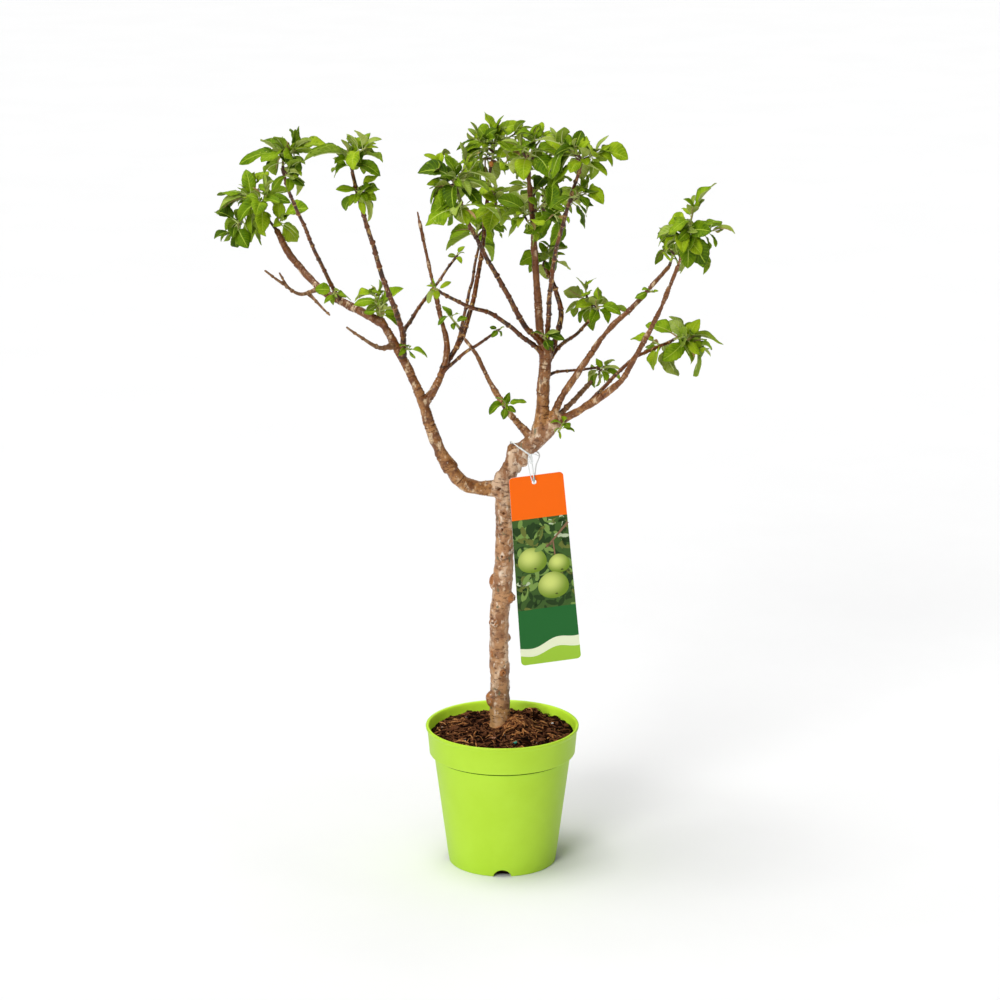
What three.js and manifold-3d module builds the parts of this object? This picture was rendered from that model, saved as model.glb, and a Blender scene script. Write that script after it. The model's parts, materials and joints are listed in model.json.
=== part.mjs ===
// A young dwarf apple tree in its nursery pot, with a hanging label card.
// Millimetres, +Z up. The origin is the centre of the pot's flat underside; +X is to the right and +Y to
// the back. The pot, the soil, the trunk, each limb, each mass of leaves, the card and its tie are
// separate closed solids.

import * as THREE from "three";
import { mergeVertices } from "three/addons/utils/BufferGeometryUtils.js";
import Module from "manifold-3d";

const wasm = await Module();
wasm.setup();

const { Manifold } = wasm;
const vec = (x, y, z) => new THREE.Vector3(x, y, z);

// ---------------------------------------------------------------- driving sizes

const GAP = 0.3; // air left between neighbouring solids
const FACE_TOLERANCE = 0.2; // slivers smaller than this are merged away

const POT = {
  height: 186,
  baseRadius: 70.5,
  foot: 1.5, // the bevel round the underside
  shoulder: { radius: 89.5, z: 147 }, // where the body meets the rim band
  bandLow: { radius: 95.3, z: 150 },
  bandTop: { radius: 97.8, z: 180.5 },
  lipRadius: 100,
  lipHeight: 3,
  lipBevel: 0.6,
  wall: 2.4,
  floor: 3,
  facets: 32,
  // Half-round drainage notches at the foot.
  notch: { count: 4, width: 22, height: 8, from: 57, to: 76, facets: 14 },
};

const SOIL = { edgeZ: 173, slopeZ: 176.6, slopeRadius: 60, seatZ: 179.7, seatRadius: 27 };
// Low heaps of root fibre on the soil: centre, half sizes.
const SOIL_HEAPS = [
  { at: [20, 2, 180], half: [20, 24, 10] },
  { at: [36, 44, 178], half: [17, 14, 10] },
  { at: [-30, -34, 174], half: [24, 20, 5] },
];
const HEAP_DETAIL = [8, 5]; // faces round a heap and up it

const TRUNK = {
  footZ: 180,
  foot: [-3, 10, 168],
  via: [[-3, 9, 235], [-4, 7, 325], [0, 5, 368], [3, 3, 425], [3, 1, 470], [3, 0, 502], [10, -1, 530],
    [25, 0, 553], [45, 0, 569]],
  tip: [68, 0, 596],
  root: 12.6,
  end: 10.6,
  flare: 1.4, // added at the root collar
  flareHeight: 16,
  sides: 10,
};

// Healed branch scars on the trunk: height, bearing round the trunk, size, and height as a share of width.
const TRUNK_KNOBS = [
  { z: 217, bearing: 195, size: 6.5, tall: 1.3 },
  { z: 258, bearing: 287, size: 4.6, tall: 1 },
  { z: 322, bearing: 238, size: 6, tall: 1 },
  { z: 358, bearing: 338, size: 6.2, tall: 1.2 },
  { z: 378, bearing: 192, size: 5.6, tall: 1.6 },
  { z: 448, bearing: 262, size: 4.4, tall: 1 },
  { z: 518, bearing: 196, size: 7, tall: 1.2 },
];

// The leader that was cut back: a blunt stump beside the trunk's bend, with a scar lump on its flank.
const PRUNED_STUMP = { from: [12, -2, 528], to: [16.5, -2, 558], root: 12, end: 9.6, cap: 6 };
const STUMP_SCAR = { at: [27, -7, 541], size: 6.5 };

// Limbs. Each grows from the middle of an earlier limb at height `at` (or from that limb's tip), through its
// shaping points, to its tip; root and end are its radii. A fork is a short side piece of the same limb.
const LIMBS = [
  { name: "bough_left_low", from: "trunk", at: 502, root: 9.4, end: 8.6,
    via: [[-18, -3, 505], [-42, -8, 509], [-57, -11, 520]], tip: [-65, -14, 533] },
  { name: "bough_left_rise", from: "bough_left_low", root: 8.4, end: 5,
    via: [[-79, -18, 558], [-92, -24, 593], [-101, -27, 625], [-122, -23, 672]], tip: [-151, -10, 722] },
  { name: "limb_far_left", from: "bough_left_rise", root: 5.4, end: 4,
    via: [[-187, 10, 737], [-226, 34, 753], [-252, 55, 774], [-275, 76, 798]], tip: [-289, 90, 821] },
  { name: "twig_far_left_up", from: "limb_far_left", at: 744, root: 2.8, end: 2,
    via: [[-218, 2, 775], [-232, -26, 813], [-246, -60, 857], [-259, -90, 896]], tip: [-266, -112, 930] },
  { name: "twig_far_left_dead", from: "limb_far_left", at: 757, root: 2.8, end: 1.3,
    via: [[-257, 24, 753], [-276, 8, 768]], tip: [-299, -8, 789],
    forks: [{ from: [-272, 11, 764], to: [-281, -4, 786], root: 1.8, end: 1.1 },
    { from: [-246, 34, 751], to: [-219, 12, 727], root: 2.2, end: 1.2 }] },
  { name: "stub_left_dry", from: "bough_left_rise", at: 695, root: 3.4, end: 1.3,
    via: [[-156, -34, 696], [-176, -46, 711]], tip: [-195, -54, 727] },
  { name: "limb_left_inner", from: "bough_left_rise", at: 680, root: 4, end: 2.2,
    via: [[-125, -40, 717], [-143, -72, 778], [-160, -108, 845], [-173, -140, 902]],
    tip: [-180, -158, 939] },
  { name: "twig_left_inner_side", from: "limb_left_inner", at: 717, root: 2.6, end: 1.6,
    via: [[-106, 0, 739], [-88, 26, 759]], tip: [-62, 58, 790] },
  { name: "limb_left_centre", from: "bough_left_rise", at: 620, root: 5.2, end: 2,
    via: [[-83, -22, 645], [-70, -8, 687], [-79, 10, 730], [-92, 32, 783]], tip: [-108, 60, 851] },
  { name: "whip_left_back", from: "limb_left_centre", at: 664, root: 3.5, end: 2.3,
    via: [[-52, 12, 698], [-36, 42, 746], [-26, 72, 800], [-21, 98, 850]], tip: [-16, 118, 893] },
  { name: "twig_left_back_side", from: "whip_left_back", at: 690, root: 2.4, end: 1.7,
    via: [[-48, 62, 722], [-38, 112, 758]], tip: [-31, 148, 791] },
  { name: "twig_left_low_side", from: "limb_left_centre", at: 659, root: 2.4, end: 1.6,
    via: [[-48, -33, 688], [-24, -48, 707]], tip: [-9, -56, 720] },
  { name: "twig_middle", from: "trunk", at: 566, root: 5, end: 1.8,
    via: [[12, 24, 594], [-4, 44, 613], [-21, 68, 638], [-34, 87, 661]], tip: [-54, 104, 684] },
  { name: "leader", from: "trunk", at: 572, root: 9.2, end: 7.8, via: [[51, 0, 606], [52, 2, 632]],
    tip: [55, 2, 682] },
  { name: "whip_centre", from: "leader", root: 5.6, end: 3,
    via: [[49, 2, 702], [45, 5, 748], [41, 10, 800], [37, 14, 860]], tip: [32, 18, 913] },
  { name: "whip_right_tall", from: "leader", at: 680, root: 3.6, end: 2.1,
    via: [[57, -14, 720], [60, -42, 778], [70, -78, 845]], tip: [94, -130, 940] },
  { name: "whip_right_bent", from: "leader", at: 672, root: 4.2, end: 2.8,
    via: [[66, 14, 690], [75, 34, 722], [68, 46, 752]], tip: [54, 58, 782] },
  { name: "whip_left_low", from: "leader", at: 678, root: 3.4, end: 2.1,
    via: [[36, -12, 697], [-12, -55, 742], [-40, -80, 756]], tip: [-74, -114, 781] },
  { name: "whip_left_high", from: "whip_centre", at: 694, root: 4, end: 2,
    via: [[28, -12, 720], [4, -36, 768], [-24, -62, 824], [-44, -84, 868]], tip: [-55, -98, 904] },
  { name: "twig_right_back", from: "leader", at: 662, root: 2.8, end: 1.9,
    via: [[74, 22, 686], [96, 54, 696]], tip: [122, 93, 713] },
  { name: "twig_right_mid", from: "leader", at: 650, root: 2.1, end: 1.6, via: [[78, 24, 653]],
    tip: [122, 56, 649] },
  { name: "limb_right_inner", from: "trunk", at: 586, root: 5.2, end: 2.5,
    via: [[74, -3, 622], [99, 4, 659], [134, 20, 706], [172, 39, 739]], tip: [212, 62, 780] },
  { name: "limb_right_outer", from: "trunk", at: 588, root: 5.4, end: 2.3,
    via: [[99, -12, 610], [146, -28, 648], [166, -38, 683], [196, -56, 748]], tip: [223, -78, 826] },
  { name: "twig_right_outer_side", from: "limb_right_outer", at: 616, root: 2.7, end: 1.9,
    via: [[134, 2, 642], [166, 20, 669], [184, 32, 676]], tip: [216, 50, 686] },
  { name: "stub_right_cut", from: "trunk", at: 592, root: 3.6, end: 2.9, via: [[92, 18, 616]],
    tip: [115, 46, 635] },
];
const THICK_LIMB = 4.5; // limbs with a thicker root than this get more sides and the older bark

// Masses of leaves. Each has one stem from a limb's tip, or from its side at height `at`. Twigs branch off
// the stem: the given spurs, each a share of the stem's length and an offset, then `twigs` more by the
// seeded rule. A lead is one leading leaf: the number of its twig (0 is the stem) and the offset of the
// leaf's tip from that twig's tip. The rest of the leaves stand in seeded rosettes, `leaves` on the stem
// and fewer on a twig.
const MASSES = [
  { name: "leaves_far_left", on: "limb_far_left", stem: [-36, 4, 44], reach: 96, leaves: 4, leaf: 42,
    twigs: 2, seed: 11, spurs: [[0.35, -7, -12, 26], [0.1, 12, -18, 11], [0.75, -30, -14, -34],
    [0.8, 1, 26, 19]], lead: [[0, -40, 10, 2], [0, -40, -18, -12], [0, -2, 12, 32], [1, 27, -14, 0],
    [2, 34, -20, 20], [3, -22, -6, -7], [3, 6, 4, -22], [4, 14, 20, 16]] },
  { name: "leaves_left_top", on: "twig_far_left_up", stem: [0, 2, 22], reach: 72, leaves: 4, leaf: 40,
    twigs: 1, seed: 12, spurs: [[0.8, 10, 8, 3], [0.05, 10, -6, -7]],
    lead: [[0, -53, -6, -3], [0, -28, 14, 16], [1, 39, 14, 14], [0, 6, -26, -8], [2, 16, -8, -10],
    [2, -24, -8, -13]] },
  { name: "leaves_left_inner_top", on: "limb_left_inner", stem: [-4, 0, 17], reach: 62, leaves: 4, leaf: 38,
    twigs: 1, seed: 13, spurs: [[0.7, 12, 8, 5]], lead: [[0, -52, -20, 6], [0, 24, 6, 28],
    [0, -20, -10, 15], [1, 28, 6, -8], [0, -15, -20, -6], [1, 2, -26, -4]] },
  { name: "leaves_left_inner_low", on: "limb_left_inner", at: 906, stem: [4, -12, 9], reach: 60, leaves: 3,
    leaf: 32, twigs: 0, seed: 39, lead: [[0, 21, 8, 19], [0, 22, -10, 2], [0, -29, -8, 2]] },
  { name: "leaves_left_spur", on: "bough_left_rise", stem: [-2, -6, 21], reach: 44, leaves: 3, leaf: 30,
    twigs: 1, seed: 14, lead: [[0, -30, -4, 7], [0, 31, -6, 21]] },
  { name: "leaves_left_fork", on: "limb_left_inner", at: 692, stem: [8, -16, 4], reach: 34, leaves: 3,
    leaf: 22, twigs: 0, seed: 15, lead: [[0, 24, -4, -8], [0, -10, -10, 6]] },
  { name: "leaves_far_left_low", on: "twig_far_left_up", at: 762, stem: [2, -16, -4], reach: 36, leaves: 3,
    leaf: 24, twigs: 0, seed: 16, lead: [[0, 20, -6, -4], [0, -14, -8, -8]] },
  { name: "leaves_left_tuft", on: "whip_left_low", stem: [-8, -6, 8], reach: 30, leaves: 5, leaf: 20,
    twigs: 0, seed: 17 },
  { name: "leaves_whip_spur", on: "whip_left_back", at: 704, stem: [-18, -12, 26], reach: 34, leaves: 2,
    leaf: 18, twigs: 0, seed: 18, lead: [[0, -14, -10, -10], [0, 14, -6, 4], [0, -6, -2, 12]] },
  { name: "leaves_crown_left", on: "whip_left_high", stem: [-4, -4, 14], reach: 76, leaves: 4, leaf: 42,
    twigs: 2, seed: 19, spurs: [[0.3, 8, -22, -24], [0.5, -11, 14, -2], [0.8, 16, 12, 19]],
    lead: [[0, -41, 4, 15], [0, -6, -6, 29], [1, -47, -8, -13], [1, 49, 6, -7], [2, -23, 8, 0],
    [2, -14, -10, -18]] },
  { name: "leaves_crown_top", on: "whip_left_back", stem: [8, 0, 45], reach: 74, leaves: 4, leaf: 42,
    twigs: 2, seed: 20, spurs: [[0.3, 21, -22, -2], [0.35, -18, 14, -2], [0.8, -11, -14, 4]],
    lead: [[0, -12, 8, 32], [0, 9, -8, 27], [0, 32, 10, 18], [0, 24, -26, -13], [3, -11, 8, 18],
    [2, -18, -24, -19]] },
  { name: "leaves_crown_centre", on: "whip_centre", stem: [9, -6, 38], reach: 66, leaves: 4, leaf: 42,
    twigs: 1, seed: 21, spurs: [[0.4, -12, 10, -5], [0.3, 20, 16, -2]],
    lead: [[0, -22, -10, 10], [0, 51, 6, -15], [0, 4, 12, 16], [1, 3, -24, -18], [2, 5, -16, -16]] },
  { name: "leaves_crown_right", on: "whip_right_tall", stem: [3, 0, 10], reach: 68, leaves: 4, leaf: 42,
    twigs: 1, seed: 22, spurs: [[0.6, 21, 6, 9], [0.2, -10, 12, 11]],
    lead: [[1, 34, -6, 0], [1, 16, -14, -14], [0, 6, 8, 24], [2, -32, -10, -25], [2, -23, 4, 18]] },
  { name: "leaves_crown_right_low", on: "whip_right_tall", at: 890, stem: [12, -10, 14], reach: 60,
    leaves: 4, leaf: 36, twigs: 1, seed: 40, lead: [[0, 26, 8, 4], [0, 14, -12, -10], [0, -38, -14, -12]] },
  { name: "leaves_crown_mid", on: "whip_centre", at: 858, stem: [15, -14, 15], reach: 58, leaves: 4,
    leaf: 42, twigs: 1, seed: 23, spurs: [[0.2, -14, -26, -2]],
    lead: [[0, 24, -12, -3], [0, 23, 6, -25], [0, 1, -14, -36], [1, -14, -10, -13]] },
  { name: "leaves_crown_low", on: "twig_left_back_side", stem: [-3, 4, 19], reach: 62, leaves: 4, leaf: 40,
    twigs: 1, seed: 24, lead: [[0, -38, -16, -24], [0, 13, 8, 15]] },
  { name: "leaves_crown_inner", on: "whip_left_back", at: 856, stem: [22, -30, 0], reach: 56, leaves: 4,
    leaf: 38, twigs: 1, seed: 25, lead: [[0, -39, -16, -9], [0, 0, -16, 22]] },
  { name: "leaves_crown_back", on: "whip_centre", at: 874, stem: [14, 58, 14], reach: 56, leaves: 4,
    leaf: 48, twigs: 3, seed: 26 },
  { name: "leaves_bent_whip", on: "whip_right_bent", stem: [2, 4, 10], reach: 50, leaves: 4, leaf: 32,
    twigs: 1, seed: 27, lead: [[0, -34, 8, -10], [0, 34, 4, -15], [0, -7, -4, 18]] },
  { name: "leaves_leader", on: "whip_centre", at: 699, stem: [4, -20, 8], reach: 38, leaves: 3, leaf: 22,
    twigs: 0, seed: 28, lead: [[0, -18, -4, 6], [0, 16, -8, 12], [0, 24, -2, -1], [0, 10, -8, -16]] },
  { name: "leaves_right_top", on: "limb_right_outer", stem: [11, -2, 51], reach: 74, leaves: 3, leaf: 42,
    twigs: 1, seed: 29, spurs: [[0.45, -2, -12, 3]], lead: [[0, 24, 4, 35], [0, -9, -8, 15], [1, 40, 8, 14],
    [1, -37, -4, -6], [1, -15, 10, 17], [1, 1, -12, -20]] },
  { name: "leaves_right_upper", on: "limb_right_inner", stem: [8, 8, 21], reach: 60, leaves: 4, leaf: 42,
    twigs: 1, seed: 30, lead: [[0, -17, 14, 28], [0, 18, 12, 11]] },
  { name: "leaves_right_low", on: "twig_right_outer_side", stem: [16, 6, 7], reach: 76, leaves: 3, leaf: 46,
    twigs: 1, seed: 31, spurs: [[0.05, -20, 16, -11]], lead: [[0, 51, -4, -11], [0, 22, -18, -16],
    [0, 8, -10, -36], [0, -20, -4, 24], [0, -47, 18, 16], [1, -6, -4, -31], [1, -33, 10, 11]] },
  { name: "leaves_right_back", on: "twig_right_back", stem: [0, 2, 10], reach: 52, leaves: 4, leaf: 40,
    twigs: 1, seed: 32, lead: [[0, -29, -4, 0], [0, 43, 4, -6], [0, 16, -14, -18]] },
  { name: "leaves_right_mid", on: "twig_right_mid", stem: [6, 2, -5], reach: 36, leaves: 3, leaf: 26,
    twigs: 0, seed: 33, lead: [[0, 23, -4, -7], [0, -7, 6, 17]] },
  { name: "leaves_middle", on: "twig_middle", at: 604, stem: [2, -18, 6], reach: 38, leaves: 3, leaf: 24,
    twigs: 0, seed: 34, lead: [[0, 26, -4, 6], [0, -12, -6, 14], [0, 12, -10, -6], [0, -22, -4, -8]] },
  { name: "leaves_under_fork", on: "limb_right_outer", at: 600, stem: [-10, -14, -14], reach: 30, leaves: 3,
    leaf: 20, twigs: 0, seed: 35, lead: [[0, 18, -4, 2]] },
  { name: "leaves_right_bud", on: "limb_right_inner", at: 752, stem: [6, -14, 2], reach: 28, leaves: 3,
    leaf: 20, twigs: 0, seed: 36 },
  { name: "leaves_low_side_bud", on: "twig_left_low_side", stem: [5, -3, 4], reach: 22, leaves: 3, leaf: 13,
    twigs: 0, seed: 37 },
  { name: "leaves_inner_side_bud", on: "twig_left_inner_side", stem: [5, 3, 6], reach: 22, leaves: 3,
    leaf: 13, twigs: 0, seed: 38, lead: [[0, 8, 2, 10]] },
];

// How leaves stand in a rosette, from the youngest at its tip (first value) to the oldest at its foot
// (second).
const ROSETTE = {
  tries: 5, // places tried for each leaf, of which the first free one is taken
  turn: 137.5, // degrees from one leaf to the next
  turnJitter: 60,
  spread: [24, 92], // degrees away from the stem
  spreadJitter: 34,
  size: [0.65, 1], // share of the mass's leaf length
  sizeJitter: 0.3,
  rollJitter: 1.6,
  above: 1.2, // the youngest leaf's root lies this far under the tip
  step: 3.4, // from one leaf's root to the next, where the twig is long enough
  sag: 0.3, // how much the oldest leaf bends down
};
// Twigs by the seeded rule: degrees away from the stem, and length as a share of the mass's leaf length.
const BRANCHING = { spread: 62, spreadJitter: 30, length: 0.75, lengthJitter: 0.3, low: 0.25, high: 0.9,
  leafShare: 0.75 };
const LEAF = { width: 0.62, widest: 0.54, stalk: 0.2, stalkHalf: 0.7, thick: 1.1, lift: 0.06, droop: 0.08 };
const LEAD_FACING = [0, -0.9, 1]; // the side to which leading leaves turn their upper faces
const TWIG = { root: 2.1, end: 1.5, sides: 3 };
const STEM_GAP = 0.36; // between a limb's tip and the foot of the stem that goes on from it
const STEM_SEAT = 0.5; // share of a stem's root radius by which a slanting stem stands off its limb's tip
const CLEAR_OF_LIMB = 1.6; // a leaf nearer to a limb than this is left out
const CLEAR_OF_SPACE = 0.6; // a leaf nearer than this to a neighbour's space is left out
const CLEAR_OF_TWIG = 4; // from the outer part of a leaf to the middle of another twig
const CLEAR_OF_LEAF = 5; // between the outer parts of two leaves
const INNER_SHARE = 2 / 8; // the part of a leaf next to its root, which may lie close to others

const CARD = { width: 69, height: 252, thick: 1, corner: 5, hole: 3, holeDrop: 9, at: [40.5, -17, 517],
  roll: 4.8, yaw: 10 };
// The elastic tie runs from the knot down through the card's hole, up behind, round the trunk and over the
// stump.
const TIE = {
  radius: 1,
  loop: [[36, -14.6, 551], [39.5, -19.5, 530], [40, -20.2, 518.5], [40.5, -16.6, 515.6], [41, -13, 519],
    [43, -9, 536], [47.5, -2, 548], [42, 10.5, 551], [30, 15.5, 554], [13, 13.5, 558], [10.5, 6.5, 564],
    [14.5, -5, 564.5], [23, -14, 560]],
  steps: 22,
  knot: 2,
};

// ---------------------------------------------------------------- finishes

const finish = (color, roughness, metalness = 0) =>
  new THREE.MeshStandardMaterial({ color, roughness, metalness });
const FINISH = {
  pot: finish(0xa9dc2e, 0.45),
  soil: finish(0x2e1c14, 1),
  bark: finish(0x8a6448, 0.85),
  youngBark: finish(0x5a3622, 0.75),
  leaf: finish(0x5f8f14, 0.5),
  card: finish(0xf56d0a, 0.35),
  tie: finish(0xf2f2ee, 0.6),
};

// ---------------------------------------------------------------- solids from three.js geometry

const WELD = 1e-4; // corners nearer than this are one corner

/** Turns a geometry into a closed Manifold solid, with its faces pointing out. */
function solidOf(geometry) {
  const bare = geometry.index ? geometry.clone() : geometry;
  for (const extra of ["normal", "uv"]) bare.deleteAttribute(extra);
  const merged = mergeVertices(bare, WELD);
  const index = merged.index.array;
  const place = merged.attributes.position.array;
  const faces = [];
  let volume = 0;
  for (let i = 0; i < index.length; i += 3) {
    const [a, b, c] = index.slice(i, i + 3);
    if (a === b || b === c || c === a) continue;
    faces.push(a, b, c);
    const [p, q, r] = [a, b, c].map((k) => vec().fromArray(place, 3 * k));
    volume += p.dot(q.cross(r));
  }
  if (volume < 0) {
    for (let i = 0; i < faces.length; i += 3) [faces[i], faces[i + 1]] = [faces[i + 1], faces[i]];
  }
  const mesh = { numProp: 3, vertProperties: new Float32Array(place), triVerts: new Uint32Array(faces) };
  return new Manifold(new wasm.Mesh(mesh));
}

/** Turns a solid back into a geometry. Loose scraps are dropped. */
function geometryOf(solid) {
  const pieces = solid.simplify(FACE_TOLERANCE).decompose().sort((a, b) => b.volume() - a.volume());
  const mesh = pieces[0].getMesh();
  const geometry = new THREE.BufferGeometry();
  geometry.setAttribute("position", new THREE.BufferAttribute(mesh.vertProperties, 3));
  geometry.setIndex(new THREE.BufferAttribute(mesh.triVerts, 1));
  geometry.computeVertexNormals();
  return geometry;
}

const join = (solids) => Manifold.union(solids);

/** A solid of revolution round Z from [radius, z] pairs that start and end on the axis. */
function turned(profile, facets) {
  const points = profile.map(([radius, z]) => new THREE.Vector2(radius, z));
  return solidOf(new THREE.LatheGeometry(points, facets).rotateX(Math.PI / 2));
}

/** An ellipsoid with few faces. */
function lump(at, half, detail = [6, 4]) {
  return solidOf(new THREE.SphereGeometry(1, ...detail).scale(...half).translate(...at));
}

/** A smooth curve through points, as a fine polyline. */
function spineThrough(points, steps) {
  return new THREE.CatmullRomCurve3(points, false, "catmullrom", 0.5).getPoints(steps);
}

/** A rod swept along a polyline, with a radius for each of its points. */
function rod(path, radii, sides) {
  const last = path.length - 1;
  const profile = [new THREE.Vector2(0, 0), ...radii.map((radius, i) => new THREE.Vector2(radius, i)),
    new THREE.Vector2(0, last)];
  const geometry = new THREE.LatheGeometry(profile, sides);
  const frames = ringFrames(path);
  const place = geometry.attributes.position;
  for (let i = 0; i < place.count; i++) {
    const step = Math.round(place.getY(i));
    const { across, over } = frames[step];
    const p = path[step].clone().addScaledVector(across, place.getX(i)).addScaledVector(over, place.getZ(i));
    place.setXYZ(i, p.x, p.y, p.z);
  }
  return solidOf(geometry);
}

/** For each point of a path, two directions square to it that turn as little as they can. */
function ringFrames(path) {
  const frames = [];
  for (let i = 0; i < path.length; i++) {
    const along = path[Math.min(i + 1, path.length - 1)].clone().sub(path[Math.max(i - 1, 0)]).normalize();
    const before = i ? frames[i - 1].across : crossFrame(along)[0];
    const across = before.clone().addScaledVector(along, -before.dot(along)).normalize();
    frames.push({ across, over: across.clone().cross(along) });
  }
  return frames;
}

/** Two directions square to an axis. */
function crossFrame(axis) {
  const helper = Math.abs(axis.z) < 0.8 ? vec(0, 0, 1) : vec(1, 0, 0);
  const first = helper.cross(axis).normalize();
  return [first, axis.clone().cross(first)];
}

/** The point of a spine at a height, and its share 0..1 along the spine. */
function atHeight(spine, z) {
  const i = spine.findIndex((p, k) => k > 0 && p.z >= z && spine[k - 1].z < z);
  const share = (z - spine[i - 1].z) / (spine[i].z - spine[i - 1].z);
  return { point: spine[i - 1].clone().lerp(spine[i], share), share: (i - 1 + share) / (spine.length - 1) };
}

// ---------------------------------------------------------------- pot and soil

function outerPotProfile() {
  const { height, baseRadius, foot, shoulder, bandLow, bandTop, lipRadius, lipHeight, lipBevel } = POT;
  return [[baseRadius - foot, 0], [baseRadius, foot], [shoulder.radius, shoulder.z],
    [bandLow.radius, bandLow.z], [bandTop.radius, bandTop.z], [lipRadius, height - lipHeight],
    [lipRadius - lipBevel, height]];
}

/** Radius of the pot's inner wall at each of its corners, from the floor up. */
function innerPotProfile() {
  const { height, baseRadius, shoulder, bandLow, bandTop, wall, floor } = POT;
  return [[baseRadius - wall, floor], [shoulder.radius - wall, shoulder.z + 1],
    [bandLow.radius - wall, bandLow.z + 1], [bandTop.radius - wall, bandTop.z],
    [bandTop.radius - wall + 1, height]];
}

function potSolid() {
  const { facets, notch } = POT;
  const pot = turned([[0, 0], ...outerPotProfile(), ...innerPotProfile().reverse(), [0, POT.floor]], facets);
  const arc = (notch.height ** 2 + (notch.width / 2) ** 2) / (2 * notch.height);
  const cutters = Array.from({ length: notch.count }, (_, i) => {
    const bearing = -Math.PI / 2 + (i * 2 * Math.PI) / notch.count;
    return solidOf(new THREE.CylinderGeometry(arc, arc, notch.to - notch.from, notch.facets)
      .rotateZ(Math.PI / 2)
      .translate((notch.from + notch.to) / 2, 0, notch.height - arc)
      .rotateZ(bearing));
  });
  return pot.subtract(join(cutters));
}

function soilSolid(trunkRoom) {
  const wallRadius = (z) => {
    const wall = innerPotProfile();
    const i = wall.findIndex(([, top]) => top >= z);
    const [[r0, z0], [r1, z1]] = [wall[i - 1], wall[i]];
    return r0 + ((r1 - r0) * (z - z0)) / (z1 - z0) - GAP;
  };
  const { edgeZ, slopeZ, slopeRadius, seatZ, seatRadius } = SOIL;
  const bed = POT.floor + GAP;
  const steps = innerPotProfile().slice(1, 3).map(([radius, z]) => [radius - GAP, z]);
  const body = turned([[0, bed], [innerPotProfile()[0][0] - GAP, bed], ...steps, [wallRadius(edgeZ), edgeZ],
    [slopeRadius, slopeZ], [seatRadius, seatZ], [0, seatZ]], POT.facets);
  const heaps = SOIL_HEAPS.map(({ at, half }) => lump(at, half, HEAP_DETAIL));
  return join([body, ...heaps]).subtract(trunkRoom);
}

// ---------------------------------------------------------------- trunk and limbs

const spines = new Map(); // name -> { points, radius(share) }: every limb made so far
const RINGS_PER_POINT = 2;
const BLUNT_TIP = { reach: 0.6, width: 0.5 }; // shares of a limb's end radius
const KNOB_SINK = 0.35; // how much of a knob's size lies inside the bark
const SIDES = { stump: 10, thick: 7, thin: 5 }; // round a rod
const CAP_DETAIL = [10, 6]; // faces round the cap of the stump and up it

const points3 = (list) => list.map((p) => vec(...p));

function addSpine(name, points, radius) {
  const spine = { points: spineThrough(points, (points.length - 1) * RINGS_PER_POINT), radius };
  spines.set(name, spine);
  return spine;
}

/** Radii along a spine, each grown by `extra`. */
const radiiAlong = (count, radiusAt, extra) =>
  Array.from({ length: count }, (_, i) => radiusAt(i / (count - 1)) + extra);

/** A straight piece between two points, with a radius at each end. */
function straightRod({ from, to, root, end }, extra, sides) {
  const steps = 3;
  const path = spineThrough(points3([from, to]), steps);
  return rod(path, radiiAlong(path.length, (share) => root + (end - root) * share, extra), sides);
}

function trunkSolid(extra = 0) {
  const { foot, via, tip, root, end, flare, flareHeight, footZ, sides } = TRUNK;
  const path = points3([foot, ...via, tip]);
  const spine = spines.get("trunk") ?? addSpine("trunk", path, (share) => root + (end - root) * share ** 2);
  const swell = (z) => flare * Math.exp(-Math.max(z - footZ, 0) / flareHeight);
  const radii = radiiAlong(spine.points.length, spine.radius, extra)
    .map((radius, i) => radius + swell(spine.points[i].z));
  const stem = rod(spine.points, radii, sides);
  const knobs = TRUNK_KNOBS.map(({ z, bearing, size, tall }) => {
    const { point, share } = atHeight(spine.points, z);
    const angle = THREE.MathUtils.degToRad(bearing);
    const out = spine.radius(share) - size * KNOB_SINK;
    const half = [size + extra, size + extra, size * tall + extra];
    return lump([point.x + out * Math.cos(angle), point.y + out * Math.sin(angle), point.z], half);
  });
  const stump = straightRod(PRUNED_STUMP, extra, SIDES.stump);
  const capHalf = [PRUNED_STUMP.end, PRUNED_STUMP.end, PRUNED_STUMP.cap].map((size) => size + extra);
  const cap = lump(PRUNED_STUMP.to, capHalf, CAP_DETAIL);
  const scar = lump(STUMP_SCAR.at, Array(3).fill(STUMP_SCAR.size + extra));
  const below = { wide: 80, deep: 40 };
  const underground = solidOf(new THREE.BoxGeometry(below.wide, below.wide, below.deep)
    .translate(foot[0], foot[1], footZ - extra - below.deep / 2));
  return join([stem, ...knobs, stump, cap, scar]).subtract(underground);
}

function limbPieces({ via, tip, root, end, forks = [], name }, start, extra = 0) {
  const radiusAt = (share) => root + (end - root) * share;
  const spine = spines.get(name) ?? addSpine(name, [start, ...points3([...via, tip])], radiusAt);
  const [before, last] = spine.points.slice(-2);
  const beyond = last.clone().sub(before).setLength(end * BLUNT_TIP.reach + extra);
  const radii = [...radiiAlong(spine.points.length, spine.radius, extra), end * BLUNT_TIP.width + extra];
  const sides = root > THICK_LIMB ? SIDES.thick : SIDES.thin;
  const limb = rod([...spine.points, last.clone().add(beyond)], radii, sides);
  return join([limb, ...forks.map((fork) => straightRod(fork, extra, SIDES.thin))]);
}

/** A solid with the room of every earlier one that it meets cut out of it. */
function cutClear(solid, rooms) {
  const near = rooms.filter((room) => boxesMeet(solid.boundingBox(), room.boundingBox()));
  return near.length ? solid.subtract(join(near)) : solid;
}

function boxesMeet(a, b) {
  return [0, 1, 2].every((k) => a.min[k] < b.max[k] && b.min[k] < a.max[k]);
}

// ---------------------------------------------------------------- masses of leaves

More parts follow.
